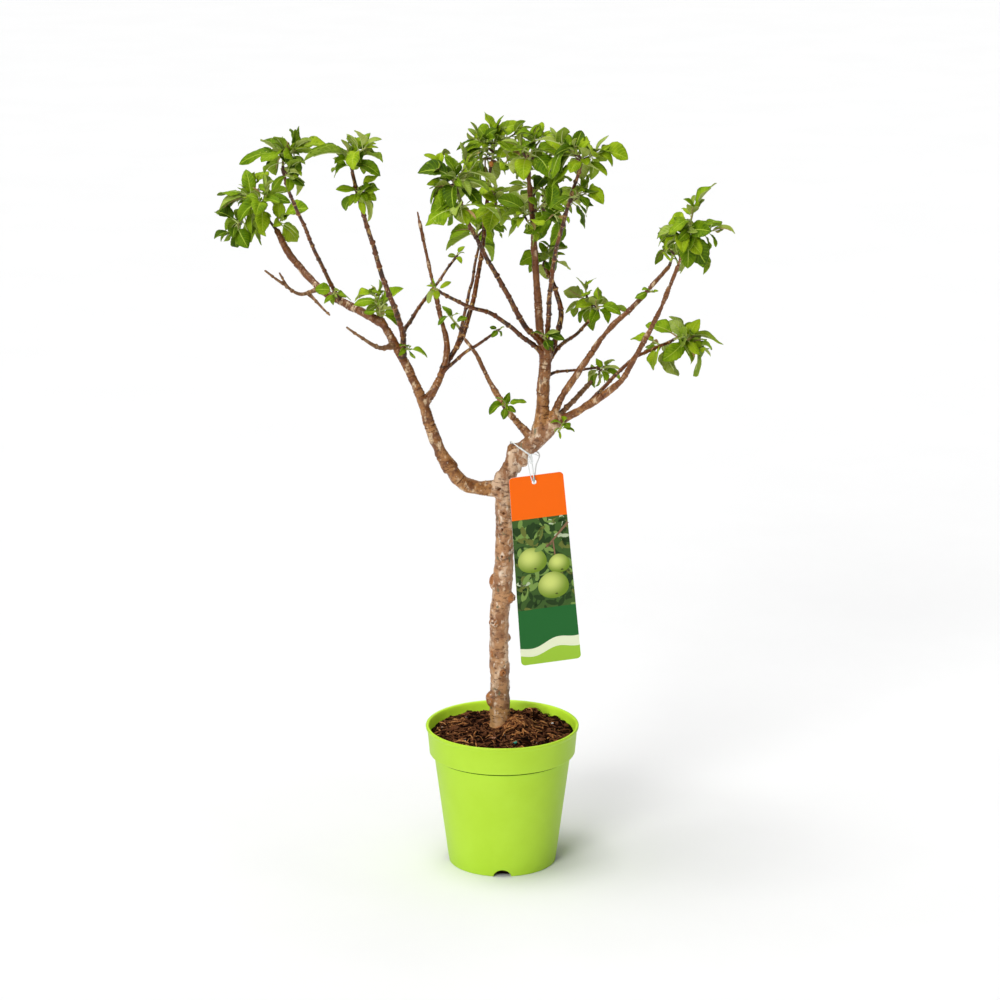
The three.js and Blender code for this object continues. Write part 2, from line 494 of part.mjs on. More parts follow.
/** A repeatable stream of numbers from 0 to 1. */
function numbersFrom(seed) {
  let state = seed >>> 0;
  return () => {
    state = (state + 0x6d2b79f5) >>> 0;
    let t = state;
    t = Math.imul(t ^ (t >>> 15), t | 1);
    t ^= t + Math.imul(t ^ (t >>> 7), t | 61);
    return ((t ^ (t >>> 14)) >>> 0) / 4294967296;
  };
}

/** A direction that leans away from an axis by `spread`, turned round it by `turn`, both in degrees. */
function leaning(axis, turn, spread) {
  const [across, over] = crossFrame(axis);
  const [around, away] = [turn, spread].map(THREE.MathUtils.degToRad);
  return axis.clone().multiplyScalar(Math.cos(away))
    .addScaledVector(across, Math.sin(away) * Math.cos(around))
    .addScaledVector(over, Math.sin(away) * Math.sin(around));
}

/**
 * The leaves of one rosette with their roots at the given points.
 * Each is a list of the places that it may take.
 */
function rosette(roots, axis, leafLength, random) {
  const phase = random() * 360;
  const jitter = (size) => (random() - 0.5) * size;
  return roots.map((root, i) => {
    const age = roots.length > 1 ? i / (roots.length - 1) : 1;
    const blend = ([young, old]) => young + (old - young) * age;
    return Array.from({ length: ROSETTE.tries }, (_, k) => {
      const turn = phase + (i + k) * ROSETTE.turn + jitter(ROSETTE.turnJitter);
      const spread = blend(ROSETTE.spread) + jitter(ROSETTE.spreadJitter);
      const length = leafLength * blend(ROSETTE.size) * (1 + jitter(ROSETTE.sizeJitter));
      const roll = jitter(ROSETTE.rollJitter);
      const along = leaning(axis, turn, spread);
      along.z -= ROSETTE.sag * age;
      along.normalize();
      return { root, along, up: upperSide(along, axis, roll), length };
    });
  });
}

/** The upper side of a leaf: square to it, turned up or to a favoured side, and rolled a little. */
function upperSide(along, favoured, roll) {
  const lean = vec(0, 0, 1).addScaledVector(favoured, 0.6);
  const up = lean.addScaledVector(along, -lean.dot(along));
  if (up.length() < 0.2) up.copy(crossFrame(along)[0]);
  return up.normalize().applyAxisAngle(along, roll);
}

/** Where a mass's stem starts: inside a limb at height `at`, or the gap clear of the limb's tip. */
function massBase({ on, at, stem }) {
  const { points, radius } = spines.get(on);
  if (at !== undefined) return atHeight(points, at).point;
  const [before, tip] = points.slice(-2);
  const along = tip.clone().sub(before).normalize();
  const away = vec(...stem).normalize();
  const tilt = TWIG.root * STEM_SEAT * Math.sqrt(1 - along.dot(away) ** 2);
  return tip.clone().addScaledVector(along, radius(1) * BLUNT_TIP.reach + STEM_GAP + tilt);
}

/** One twig of a mass, with its leading leaves and its rosette. */
function growTwig(mass, number, start, offset, count, random) {
  const tip = start.clone().add(offset);
  const axis = offset.clone().normalize();
  const leads = (mass.lead ?? []).filter(([twig]) => twig === number);
  const step = Math.min(ROSETTE.step, (offset.length() - 2 * ROSETTE.above) / (leads.length + count));
  const rootAt = (i) => tip.clone().addScaledVector(axis, -ROSETTE.above - step * i);
  const leading = leads.map(([, ...reach], i) => {
    const along = tip.clone().add(vec(...reach)).sub(rootAt(i));
    const length = along.length();
    along.normalize();
    return { root: rootAt(i), along, up: upperSide(along, vec(...LEAD_FACING), 0), length };
  });
  const roots = Array.from({ length: count }, (_, i) => rootAt(leads.length + i));
  return { path: [start, tip], leading, rest: rosette(roots, axis, mass.leaf, random) };
}

/** The twigs and leaves that a mass would have with nothing in its way. */
function growMass(mass) {
  const random = numbersFrom(mass.seed);
  const base = massBase(mass);
  const stem = vec(...mass.stem);
  const twigs = [growTwig(mass, 0, base, stem, mass.leaves, random)];
  const count = Math.max(2, Math.round(mass.leaves * BRANCHING.leafShare));
  for (const [share, ...offset] of mass.spurs ?? []) {
    const start = base.clone().addScaledVector(stem, share);
    twigs.push(growTwig(mass, twigs.length, start, vec(...offset), count, random));
  }
  const phase = random() * 360;
  for (let i = 0; i < mass.twigs; i++) {
    const share = BRANCHING.low + (BRANCHING.high - BRANCHING.low) * ((i + random()) / mass.twigs);
    const spread = BRANCHING.spread + (random() - 0.5) * BRANCHING.spreadJitter;
    const length = mass.leaf * BRANCHING.length * (1 + (random() - 0.5) * BRANCHING.lengthJitter);
    const way = leaning(stem.clone().normalize(), phase + i * ROSETTE.turn, spread);
    const offset = way.multiplyScalar(length);
    const foot = base.clone().addScaledVector(stem, share);
    twigs.push(growTwig(mass, twigs.length, foot, offset, count, random));
  }
  return twigs;
}

/** Corner points of a leaf: three at the foot of its stalk, three at its head, the two sides and the tip. */
function leafCorners({ root, along, up, length }) {
  const side = along.clone().cross(up);
  const put = (a, s, u) =>
    root.clone().addScaledVector(along, a).addScaledVector(side, s).addScaledVector(up, u);
  const { stalk, stalkHalf, thick } = LEAF;
  const half = (length * LEAF.width) / 2;
  const stalkRing = (at) => [put(at, 0, thick / 2), put(at, -stalkHalf, -thick / 2),
    put(at, stalkHalf, -thick / 2)];
  return {
    foot: stalkRing(0),
    head: stalkRing(length * stalk),
    wideLeft: put(length * LEAF.widest, -half, length * LEAF.lift),
    wideRight: put(length * LEAF.widest, half, length * LEAF.lift),
    tip: put(length, 0, -length * LEAF.droop),
  };
}

/** A leaf on its stalk, with fourteen faces. */
function leafSolid(leaf) {
  const { foot, head, wideLeft, wideRight, tip } = leafCorners(leaf);
  const corners = [...foot, ...head, wideLeft, wideRight, tip];
  const stalk = [0, 1, 2, 0, 3, 1, 1, 3, 4, 1, 4, 2, 2, 4, 5, 2, 5, 0, 0, 5, 3];
  const blade = [3, 8, 6, 3, 7, 8, 3, 6, 4, 3, 5, 7, 4, 6, 8, 4, 8, 5, 5, 8, 7];
  const geometry = new THREE.BufferGeometry();
  const places = corners.flatMap((p) => p.toArray());
  geometry.setAttribute("position", new THREE.Float32BufferAttribute(places, 3));
  geometry.setIndex([...stalk, ...blade]);
  return solidOf(geometry);
}

/** Points spread over a leaf's face, to test where it lies. */
function leafSamples(leaf) {
  const { foot: [root], wideLeft, wideRight, tip } = leafCorners(leaf);
  const halfWidth = wideRight.clone().sub(wideLeft).multiplyScalar(0.5);
  const lift = leaf.up.clone().multiplyScalar(leaf.length * LEAF.lift);
  const rows = 8;
  const samples = [];
  for (let i = 1; i <= rows; i++) {
    const along = i / rows;
    const opening = Math.max(0, (along - LEAF.stalk) / (LEAF.widest - LEAF.stalk));
    const share = Math.min(opening, (1 - along) / (1 - LEAF.widest));
    for (const across of [-1, -0.5, 0, 0.5, 1]) {
      samples.push(root.clone().lerp(tip, along)
        .addScaledVector(halfWidth, share * across)
        .addScaledVector(lift, share * Math.abs(across)));
    }
  }
  return samples;
}

/** True where a point lies in a mass's own space and clear of its neighbours'. */
function ownsPoint(mass, point) {
  const own = point.distanceToSquared(mass.centre) - mass.reach ** 2;
  if (own > 0) return false;
  return MASSES.every((other) => {
    if (other === mass) return true;
    const theirs = point.distanceToSquared(other.centre) - other.reach ** 2;
    return theirs - own > 2 * CLEAR_OF_SPACE * mass.centre.distanceTo(other.centre);
  });
}

/** Distance from a point to the bark of the nearest limb. */
function barkDistance(point) {
  let nearest = Infinity;
  const spot = vec();
  const line = new THREE.Line3();
  for (const { points, radius } of spines.values()) {
    for (let i = 1; i < points.length; i++) {
      line.set(points[i - 1], points[i]).closestPointToPoint(point, true, spot);
      nearest = Math.min(nearest, spot.distanceTo(point) - radius(i / (points.length - 1)));
    }
  }
  return nearest;
}

const isClear = (mass, point) => ownsPoint(mass, point) && barkDistance(point) > CLEAR_OF_LIMB;

const outerSamples = (leaf) => {
  const samples = leafSamples(leaf);
  return samples.slice(samples.length * INNER_SHARE);
};

/**
 * Takes out of a grown mass what leaves its space or comes too near a limb. Leading leaves have the first
 * choice. Each other leaf takes the first of its places that is also clear of the leaves and twigs round it,
 * or is left out.
 */
function keptTwigs(mass, twigs) {
  const inPlace = (leaf) => leafSamples(leaf).every((p) => isClear(mass, p));
  const standing = twigs.filter(({ path }, i) => i === 0 || isClear(mass, path[1]))
    .map((twig) => ({ ...twig, leading: twig.leading.filter(inPlace) }));
  const taken = standing.flatMap(({ leading }) => leading.flatMap(outerSamples));
  const lines = standing.map(({ path }) => new THREE.Line3(...path));
  const spot = vec();
  const firstFree = (places, ownLine) => places.find((leaf) => {
    if (!inPlace(leaf)) return false;
    const outer = outerSamples(leaf);
    const meets = (p) => taken.some((other) => p.distanceTo(other) < CLEAR_OF_LEAF)
      || lines.some((line) =>
        line !== ownLine && line.closestPointToPoint(p, true, spot).distanceTo(p) < CLEAR_OF_TWIG);
    if (outer.some(meets)) return false;
    taken.push(...outer);
    return true;
  });
  return standing.map(({ path, leading, rest }, i) => {
    const others = rest.map((places) => firstFree(places, lines[i])).filter((leaf) => leaf);
    return { path, leaves: [...leading, ...others] };
  });
}

function massSolid(twigs) {
  const pieces = twigs.map(({ path }) => rod(path, [TWIG.root, TWIG.end], TWIG.sides));
  for (const { leaves } of twigs) pieces.push(...leaves.map(leafSolid));
  return join(pieces);
}

// ---------------------------------------------------------------- label card and tie

function cardSolid() {
  const { width, height, thick, corner, hole, holeDrop } = CARD;
  const left = -width / 2;
  const low = holeDrop - height;
  const outline = new THREE.Shape();
  outline.moveTo(left + corner, low).lineTo(-left - corner, low);
  outline.absarc(-left - corner, low + corner, corner, -Math.PI / 2, 0);
  outline.absarc(-left - corner, holeDrop - corner, corner, 0, Math.PI / 2);
  outline.absarc(left + corner, holeDrop - corner, corner, Math.PI / 2, Math.PI);
  outline.absarc(left + corner, low + corner, corner, Math.PI, 1.5 * Math.PI);
  outline.holes.push(new THREE.Path().absarc(0, 0, hole, 0, 2 * Math.PI, true));
  const plate = new THREE.ExtrudeGeometry(outline, { depth: thick, bevelEnabled: false, curveSegments: 3 });
  return solidOf(plate.translate(0, 0, -thick / 2).rotateX(Math.PI / 2)
    .rotateY(-THREE.MathUtils.degToRad(CARD.roll))
    .rotateZ(THREE.MathUtils.degToRad(CARD.yaw))
    .translate(...CARD.at));
}

function tieSolid(rooms) {
  const curve = new THREE.CatmullRomCurve3(points3(TIE.loop), true);
  const section = new THREE.Shape().absarc(0, 0, TIE.radius, 0, 2 * Math.PI);
  const sweep = { steps: TIE.steps, curveSegments: 3, extrudePath: curve, bevelEnabled: false };
  const loop = new THREE.ExtrudeGeometry(section, sweep);
  const knot = lump(TIE.loop[0], Array(3).fill(TIE.knot), [6, 4]);
  return cutClear(join([solidOf(loop), knot]), rooms);
}

// ---------------------------------------------------------------- assembly

const tree = new THREE.Group();

function addNode(name, solid, material) {
  const mesh = new THREE.Mesh(geometryOf(solid), material);
  mesh.name = name;
  tree.add(mesh);
}

const trunk = trunkSolid();
const rooms = [trunkSolid(GAP)]; // each limb so far, grown by the gap

addNode("pot", potSolid(), FINISH.pot);
addNode("soil", soilSolid(rooms[0]), FINISH.soil);
addNode("trunk", trunk, FINISH.bark);

for (const limb of LIMBS) {
  const { points } = spines.get(limb.from);
  const start = limb.at === undefined ? points[points.length - 1].clone() : atHeight(points, limb.at).point;
  const bark = limb.root > THICK_LIMB ? FINISH.bark : FINISH.youngBark;
  addNode(limb.name, cutClear(limbPieces(limb, start), rooms), bark);
  rooms.push(limbPieces(limb, start, GAP));
}

for (const mass of MASSES) mass.centre = massBase(mass).addScaledVector(vec(...mass.stem), 0.6);

for (const mass of MASSES) {
  addNode(mass.name, cutClear(massSolid(keptTwigs(mass, growMass(mass))), rooms), FINISH.leaf);
}

const card = cardSolid();
addNode("label_card", card, FINISH.card);
addNode("label_tie", tieSolid(rooms), FINISH.tie);

export default tree;
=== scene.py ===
import json
import logging
import math
from dataclasses import dataclass, field
from enum import Enum, IntEnum

import bpy
import numpy as np
from mathutils import Matrix, Vector
from mathutils.geometry import tessellate_polygon

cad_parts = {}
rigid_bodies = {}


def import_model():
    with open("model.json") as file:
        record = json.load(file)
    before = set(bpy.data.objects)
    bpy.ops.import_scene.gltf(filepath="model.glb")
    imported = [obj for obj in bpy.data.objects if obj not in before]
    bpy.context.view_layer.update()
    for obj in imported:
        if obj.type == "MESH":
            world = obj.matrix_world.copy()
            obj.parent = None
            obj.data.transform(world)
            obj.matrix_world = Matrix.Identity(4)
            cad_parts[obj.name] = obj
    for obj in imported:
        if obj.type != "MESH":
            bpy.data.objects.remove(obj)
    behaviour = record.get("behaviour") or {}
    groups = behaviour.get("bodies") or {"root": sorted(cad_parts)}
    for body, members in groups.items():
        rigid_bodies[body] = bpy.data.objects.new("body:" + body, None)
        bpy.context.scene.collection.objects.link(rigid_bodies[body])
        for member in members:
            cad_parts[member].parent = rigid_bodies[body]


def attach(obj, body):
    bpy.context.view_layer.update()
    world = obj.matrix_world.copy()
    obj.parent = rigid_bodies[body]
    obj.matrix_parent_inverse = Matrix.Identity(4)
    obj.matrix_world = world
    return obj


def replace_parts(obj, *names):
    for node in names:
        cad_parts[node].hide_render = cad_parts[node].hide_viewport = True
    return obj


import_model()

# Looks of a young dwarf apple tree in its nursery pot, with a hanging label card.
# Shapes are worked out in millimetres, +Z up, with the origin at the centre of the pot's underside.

LOG = logging.getLogger("apple_tree")
MM = 0.001
Array = np.ndarray
Point = tuple[float, float, float]
Span = tuple[float, float]
Random = np.random.Generator
Thing = bpy.types.Object
Mesh = bpy.types.Mesh
Socket = bpy.types.NodeSocket
Tree = bpy.types.NodeTree
UPRIGHT = np.array([0.0, 0, 1])
GOLDEN_TURN = 137.5  # degrees from one leaf or bud to the next
WORD = 0xFFFFFFFF  # all the bits of a number of 32 bits
SCATTER = np.array([73856093, 19349663, 83492791])  # large odd numbers that part neighbouring cells
SEED_SCATTER, MIXER, STREAM_STEP = 2654435761, 1274126177, 0x6D2B79F5


# Small sums


def unit(v: Array) -> Array:
    """Returns vectors scaled to length one."""
    return v / np.maximum(np.linalg.norm(v, axis=-1, keepdims=True), 1e-9)


def bell(x: Array) -> Array:
    """Returns a smooth bump, 1 in the middle and about 0 beyond 2."""
    return np.exp(-x * x)


def linear(code: str) -> tuple[float, float, float, float]:
    """Turns a colour code into the numbers that a shader takes.

    Args:
        code: six hexadecimal digits after a hash sign.

    Returns:
        Red, green, blue and alpha in linear light.
    """
    parts = [int(code[i:i + 2], 16) / 255 for i in (1, 3, 5)]
    red, green, blue = [c / 12.92 if c <= 0.04045 else ((c + 0.055) / 1.055) ** 2.4 for c in parts]
    return red, green, blue, 1.0


def lumpy(points: Array, size: float, seed: int = 0) -> Array:
    """Gives smooth random values that change over a given distance.

    Args:
        points: the places, one a row.
        size: from one random value to the next.
        seed: which pattern.

    Returns:
        A value from -1 to 1 for each place.
    """
    p = points / size + seed * 17.3
    cell = np.floor(p).astype(np.int64)
    f = p - cell
    f = f * f * (3 - 2 * f)
    total = np.zeros(len(p))
    for corner in np.ndindex(2, 2, 2):
        mixed = np.bitwise_xor.reduce((cell + corner) * SCATTER, axis=1) ^ (seed * SEED_SCATTER)
        mixed = ((mixed ^ (mixed >> 13)) * MIXER) & WORD
        weight = np.prod(np.where(corner, f, 1 - f), axis=1)
        total += weight * (((mixed ^ (mixed >> 16)) & 0xFFFF) / 32767.5 - 1)
    return total


def smooth_curve(points: Array, steps: int) -> Array:
    """Runs a smooth line through points, as the solids' middle lines run.

    Args:
        points: the shaping points.
        steps: how many equal steps it takes.

    Returns:
        One more point than it takes steps.
    """
    ends = np.vstack([2 * points[0] - points[1], points, 2 * points[-1] - points[-2]])
    place = np.linspace(0, len(points) - 1, steps + 1)
    i = np.minimum(place.astype(int), len(points) - 2)
    t = (place - i)[:, None]
    a, b, c, d = ends[i], ends[i + 1], ends[i + 2], ends[i + 3]
    leave, arrive = (c - a) / 2, (d - b) / 2
    return b + leave * t + (3 * (c - b) - 2 * leave - arrive) * t**2 + (2 * (b - c) + leave + arrive) * t**3


def even_steps(path: Array, gap: float) -> tuple[Array, Array]:
    """Spreads points evenly along a polyline.

    Args:
        path: the polyline.
        gap: about how far apart they lie.

    Returns:
        The points, and each one's share of the way, counted in points of the polyline.
    """
    run = np.concatenate([[0], np.cumsum(np.linalg.norm(np.diff(path, axis=0), axis=1))])
    marks = np.linspace(0, run[-1], max(3, int(run[-1] / gap) + 1))
    shares = np.interp(marks, run, np.linspace(0, 1, len(path)))
    return np.stack([np.interp(marks, run, path[:, k]) for k in range(3)], axis=1), shares


def turns(count: int) -> Array:
    """Returns equal steps of one full turn, in radians."""
    return np.linspace(0, 2 * math.pi, count, endpoint=False)


def around(radius: Array | float, count: int, z: float = 0.0) -> Array:
    """Returns a ring of points about the upright axis."""
    turn = turns(count)
    return np.c_[radius * np.cos(turn), radius * np.sin(turn), np.full(count, z)]


def ring_quads(rings: int, sides: int) -> Array:
    """Lays faces between rings.

    Args:
        rings: how many rings there are.
        sides: how many corners each has.

    Returns:
        Four corners a face.
    """
    here = np.arange((rings - 1) * sides).reshape(-1, sides)
    turned = np.roll(here, -1, axis=1)
    return np.stack([here, here + sides, turned + sides, turned], axis=-1).reshape(-1, 4)


def repeated(faces: Array, count: int, corners: int) -> Array:
    """Returns the faces of many equal pieces, each with so many corners."""
    return (faces + np.arange(count)[:, None, None] * corners).reshape(-1, faces.shape[1])


def cross_frame(axis: Array) -> tuple[Array, Array]:
    """Finds two directions square to an axis.

    Args:
        axis: a direction.

    Returns:
        The two, square to each other as well.
    """
    helper = UPRIGHT if abs(axis[2]) < 0.8 else np.array([1.0, 0, 0])
    first = unit(np.cross(helper, axis))
    return first, np.cross(axis, first)


def ring_frames(path: Array) -> tuple[Array, Array]:
    """Finds two directions square to a path, which turn along it as little as they can.

    Args:
        path: its points.

    Returns:
        The two directions at each point.
    """
    ends = np.vstack([path[:1], path, path[-1:]])
    along = unit(ends[2:] - ends[:-2])
    before = cross_frame(along[0])[0]
    across = []
    for direction in along:
        before = unit(before - direction * np.dot(before, direction))
        across.append(before)
    across = np.array(across)
    return across, np.cross(across, along)


# Meshes


class MeshParts:
    """Collects pieces of mesh in millimetres and joins them into one object."""

    def __init__(self) -> None:
        """Starts with nothing."""
        self.points, self.uv, self.faces, self.slots, self.count = [], [], [], [], 0

    def add(self, points: Array, quads: Array | None = None, tris: Array | None = None, slot: int | Array = 0,
            uv: Array | None = None, tri_slot: int | Array | None = None) -> None:
        """Adds one piece.

        Args:
            points: its corners.
            quads: its four-sided faces, as numbers of corners.
            tris: its three-sided faces.
            slot: the material slot of its faces, or of each.
            uv: a flat place for each corner.
            tri_slot: the slots of the three-sided faces, where they differ.
        """
        for faces, own in ((quads, slot), (tris, slot if tri_slot is None else tri_slot)):
            if faces is not None:
                self.faces.append(np.asarray(faces) + self.count)
                self.slots.append(np.broadcast_to(own, len(faces)))
        self.points.append(points)
        self.uv.append(np.zeros((len(points), 2)) if uv is None else uv)
        self.count += len(points)

    def shell(self, rings: Array, slot: int | Array = 0) -> None:
        """Adds the closed skin over a row of rings.

        Args:
            rings: their points, by ring and by place round it.
            slot: the material slot of its faces, or of each length of it.
        """
        count, sides = rings.shape[:2]
        rim = np.arange(sides)
        after, last = np.roll(rim, -1), (count - 1) * sides
        caps = np.vstack([np.c_[rim, after, np.full(sides, count * sides)],
                          np.c_[after + last, rim + last, np.full(sides, count * sides + 1)]])
        points = np.vstack([rings.reshape(-1, 3), rings[[0, -1]].mean(axis=1)])
        self.add(points, ring_quads(count, sides), caps, np.repeat(slot, sides) if np.ndim(slot) else slot,
                 tri_slot=np.repeat(np.ravel(slot)[[0, -1]], sides))

    def tube(self, path: Array, radii: Array, sides: int = 10, slot: int | Array = 0) -> None:
        """Adds a closed tube along a path.

        Args:
            path: its middle line.
            radii: a radius for each point, or for each point and side.
            sides: how many it has.
            slot: the material slot of its faces, or of each length of it.
        """
        across, over = ring_frames(path)
        turn = turns(sides)[:, None]
        radii = radii[:, None] if radii.ndim == 1 else radii
        spokes = across[:, None] * np.cos(turn) + over[:, None] * np.sin(turn)
        self.shell(path[:, None] + spokes * radii[..., None], slot)

    def ball(self, at: Point | Array, half: Point | Array, detail: int = 12, slot: int = 0) -> None:
        """Adds an ellipsoid.

        Args:
            at: its centre.
            half: its half sizes.
            detail: how many faces go round it.
            slot: its material slot.
        """
        rise = np.linspace(-math.pi / 2, math.pi / 2, detail // 2 + 1)
        self.tube(np.sin(rise)[:, None] * UPRIGHT, np.maximum(np.cos(rise), 0.02), detail, slot)
        self.points[-1] = self.points[-1] * np.array(half) + np.array(at)

    def build(self, name: str, finishes: list["Finish"], cad_slot: str, smooth: float = 180.0) -> Thing:
        """Joins the pieces into one object that rides with the part.

        Args:
            name: the object's name.
            finishes: the finish of each material slot.
            cad_slot: not used.
            smooth: as in `dressed`.

        Returns:
            The new object.
        """
        mesh = bpy.data.meshes.new(name)
        points = np.concatenate(self.points) * MM
        corners = np.concatenate([faces.ravel() for faces in self.faces])
        sides = np.concatenate([np.full(len(faces), faces.shape[1]) for faces in self.faces])
        mesh.vertices.add(len(points))
        mesh.vertices.foreach_set("co", points.ravel())
        mesh.loops.add(len(corners))
        mesh.loops.foreach_set("vertex_index", corners.astype(np.int32))
        mesh.polygons.add(len(sides))
        mesh.polygons.foreach_set("loop_start", (np.cumsum(sides) - sides).astype(np.int32))
        mesh.polygons.foreach_set("material_index", np.concatenate(self.slots).astype(np.int32))
        mesh.update(calc_edges=True)
        mesh.uv_layers.new(name="flat").data.foreach_set("uv", np.concatenate(self.uv)[corners].ravel())
        mesh.validate()
        return dressed(bpy.data.objects.new(name, mesh), finishes, smooth)


def dressed(thing: Thing, finishes: list["Finish"], smooth: float = 180.0) -> Thing:
    """Gives an object its finishes and makes it ride with the part.

    Args:
        thing: the object.
        finishes: the finish of each material slot.
        smooth: edges sharper than this, in degrees, stay sharp.

    Returns:
        The same object.
    """
    if thing.name not in bpy.context.scene.collection.objects:
        bpy.context.scene.collection.objects.link(thing)
    for finish in finishes:
        thing.data.materials.append(finish.material())
    thing.data.shade_smooth()
    if smooth < 180:
        thing.data.set_sharp_from_angle(angle=math.radians(smooth))
    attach(thing, "root")
    LOG.info("%s: %d faces", thing.name, len(thing.data.polygons))
    return thing


def settled(thing: Thing) -> Thing:
    """Replaces an object by a plain mesh of what its modifiers make.

    Args:
        thing: an object in the scene with modifiers.

    Returns:
        A new object of the same name, not yet dressed.
    """
    name = thing.name
    made = bpy.data.meshes.new_from_object(thing.evaluated_get(bpy.context.evaluated_depsgraph_get()))
    bpy.data.objects.remove(thing)
    result = bpy.data.objects.new(name, made)
    bpy.context.scene.collection.objects.link(result)
    return result


# Finishes


class Effect(Enum):
    """Surface effects that several finishes share, each a shader node group."""

    MOTTLE, FLECKS, RISE, VEINS_AND_EDGE_HIGHLIGHT, BALL = "mottle", "flecks", "rise", "veins", "ball"


MOTTLE, FLECKS, RISE, VEINS_AND_EDGE_HIGHLIGHT, BALL = Effect


class Wiring:
    """Short ways to place and join the nodes of one tree."""

    def __init__(self, tree: Tree) -> None:
        """Keeps the tree."""
        self.tree = tree

    def add(self, kind: str, settings: dict | None = None, **inputs: object) -> bpy.types.Node:
        """Places a node.

        Args:
            kind: the node's type.
            settings: values of its own properties.
            inputs: a value or a socket for each input, by name or, as in i2, by number.

        Returns:
            The node.
        """
        node = self.tree.nodes.new(kind)
        for key, value in (settings or {}).items():
            setattr(node, key, value)
        for key, value in inputs.items():
            socket = node.inputs[int(key[1:]) if key[1:].isdigit() else key.replace("_", " ")]
            if isinstance(value, Socket):
                self.tree.links.new(value, socket)
            else:
                socket.default_value = value
        return node

    def sum(self, operation: str, *values: object) -> Socket:
        """Places a sum of one to three numbers and returns its result."""
        inputs = {f"i{k}": value for k, value in enumerate(values)}
        return self.add("ShaderNodeMath", {"operation": operation}, **inputs).outputs[0]

    def vector(self, operation: str, first: object, second: object) -> bpy.types.Node:
        """Places a sum of two vectors."""
        return self.add("ShaderNodeVectorMath", {"operation": operation}, i0=first, i1=second)

    def span(self, value: Socket, low: object, high: object) -> Socket:
        """Maps a value from the span low..high smoothly to 0..1."""
        return self.add("ShaderNodeMapRange", {"interpolation_type": "SMOOTHSTEP"}, Value=value, From_Min=low,
                        From_Max=high, To_Min=0.0, To_Max=1.0).outputs["Result"]


class EffectGroups:
    """The node groups of the shared effects. Each is built once, when a finish first needs it."""

    SOCKETS = {"Vector": "Vector", "Stretch": "Vector", "Scale": "Float", "Low": "Float", "High": "Float",
               "Amount": "Float"}

    @classmethod
    def get(cls, effect: Effect) -> Tree:
        """Finds or builds the group of an effect.

        Args:
            effect: which one.

        Returns:
            The group, whose Mask is 0 to 1 over the surface.
        """
        found = bpy.data.node_groups.get(effect.value)
        if found:
            return found
        tree = bpy.data.node_groups.new(effect.value, "ShaderNodeTree")
        for name, kind in cls.SOCKETS.items():
            tree.interface.new_socket(name, in_out="INPUT", socket_type="NodeSocket" + kind)
        tree.interface.new_socket("Mask", in_out="OUTPUT", socket_type="NodeSocketFloat")
        wires = Wiring(tree)
        given = wires.add("NodeGroupInput").outputs
        mask = getattr(cls, effect.value)(wires, given)
        wires.add("NodeGroupOutput", Mask=wires.sum("MULTIPLY", mask, given["Amount"]))
        return tree

    @staticmethod
    def mottle(wires: Wiring, given: object) -> Socket:
        """Soft clouds, or streaks where Stretch is uneven.

        Args:
            wires: the group's nodes.
            given: the group's inputs.

        Returns:
            The mask.
        """
        place = wires.vector("MULTIPLY", given["Vector"], given["Stretch"]).outputs[0]
        noise = wires.add("ShaderNodeTexNoise", Vector=place, Scale=given["Scale"], Detail=4.0, Roughness=0.6)
        return wires.span(noise.outputs[0], given["Low"], given["High"])

    @staticmethod
    def flecks(wires: Wiring, given: object) -> Socket:
        """Small spots, full within Low and gone beyond High, in shares of their spacing.

        Args:
            wires: the group's nodes.
            given: the group's inputs.

        Returns:
            The mask.
        """
        place = wires.vector("MULTIPLY", given["Vector"], given["Stretch"]).outputs[0]
        spots = wires.add("ShaderNodeTexVoronoi", Vector=place, Scale=given["Scale"])
        apart = wires.add("ShaderNodeTexNoise", Vector=place, Scale=given["Scale"], Detail=1.0)
        near = wires.span(spots.outputs["Distance"], given["High"], given["Low"])
        return wires.sum("MULTIPLY", near, wires.span(apart.outputs[0], 0.45, 0.6))

    @staticmethod
    def rise(wires: Wiring, given: object) -> Socket:
        """Grows from the height Low to the height High, in metres, with a ragged border.

        Args:
            wires: the group's nodes.
            given: the group's inputs.

        Returns:
            The mask.
        """
        noise = wires.add("ShaderNodeTexNoise", Vector=given["Vector"], Scale=given["Scale"], Detail=3.0)
        height = wires.add("ShaderNodeSeparateXYZ", Vector=given["Vector"]).outputs["Z"]
        ragged = wires.sum("MULTIPLY_ADD", noise.outputs[0], 0.02, wires.sum("SUBTRACT", height, 0.01))
        return wires.span(ragged, given["Low"], given["High"])

    @staticmethod
    def veins(wires: Wiring, given: object) -> Socket:
        """Side veins of a leaf, slanting forward from its middle, and its pale margin, partly a painted
        highlight along the edge.

        Args:
            wires: the group's nodes.
            given: the group's inputs.

        Returns:
            The mask.
        """
        flat = wires.add("ShaderNodeSeparateXYZ", Vector=given["Vector"])
        aside = wires.sum("ABSOLUTE", wires.sum("MULTIPLY_ADD", flat.outputs["X"], 2.0, -1.0))
        slant = wires.sum("MULTIPLY_ADD", wires.sum("POWER", aside, 1.4), -0.24, flat.outputs["Y"])
        wave = wires.sum("PINGPONG", wires.sum("MULTIPLY", slant, given["Scale"]), 0.5)
        ribs = wires.span(wave, given["High"], given["Low"])
        # the pale margin, partly a painted edge highlight
        return wires.sum("MAXIMUM", ribs, wires.span(aside, 0.88, 1.0))

    @staticmethod
    def ball(wires: Wiring, given: object) -> Socket:
        """A round glow off the middle of a printed disc, full within Low and gone beyond High."""
        away = wires.vector("DISTANCE", given["Vector"], (0.4, 0.62, 0.0))
        return wires.span(away.outputs["Value"], given["High"], given["Low"])


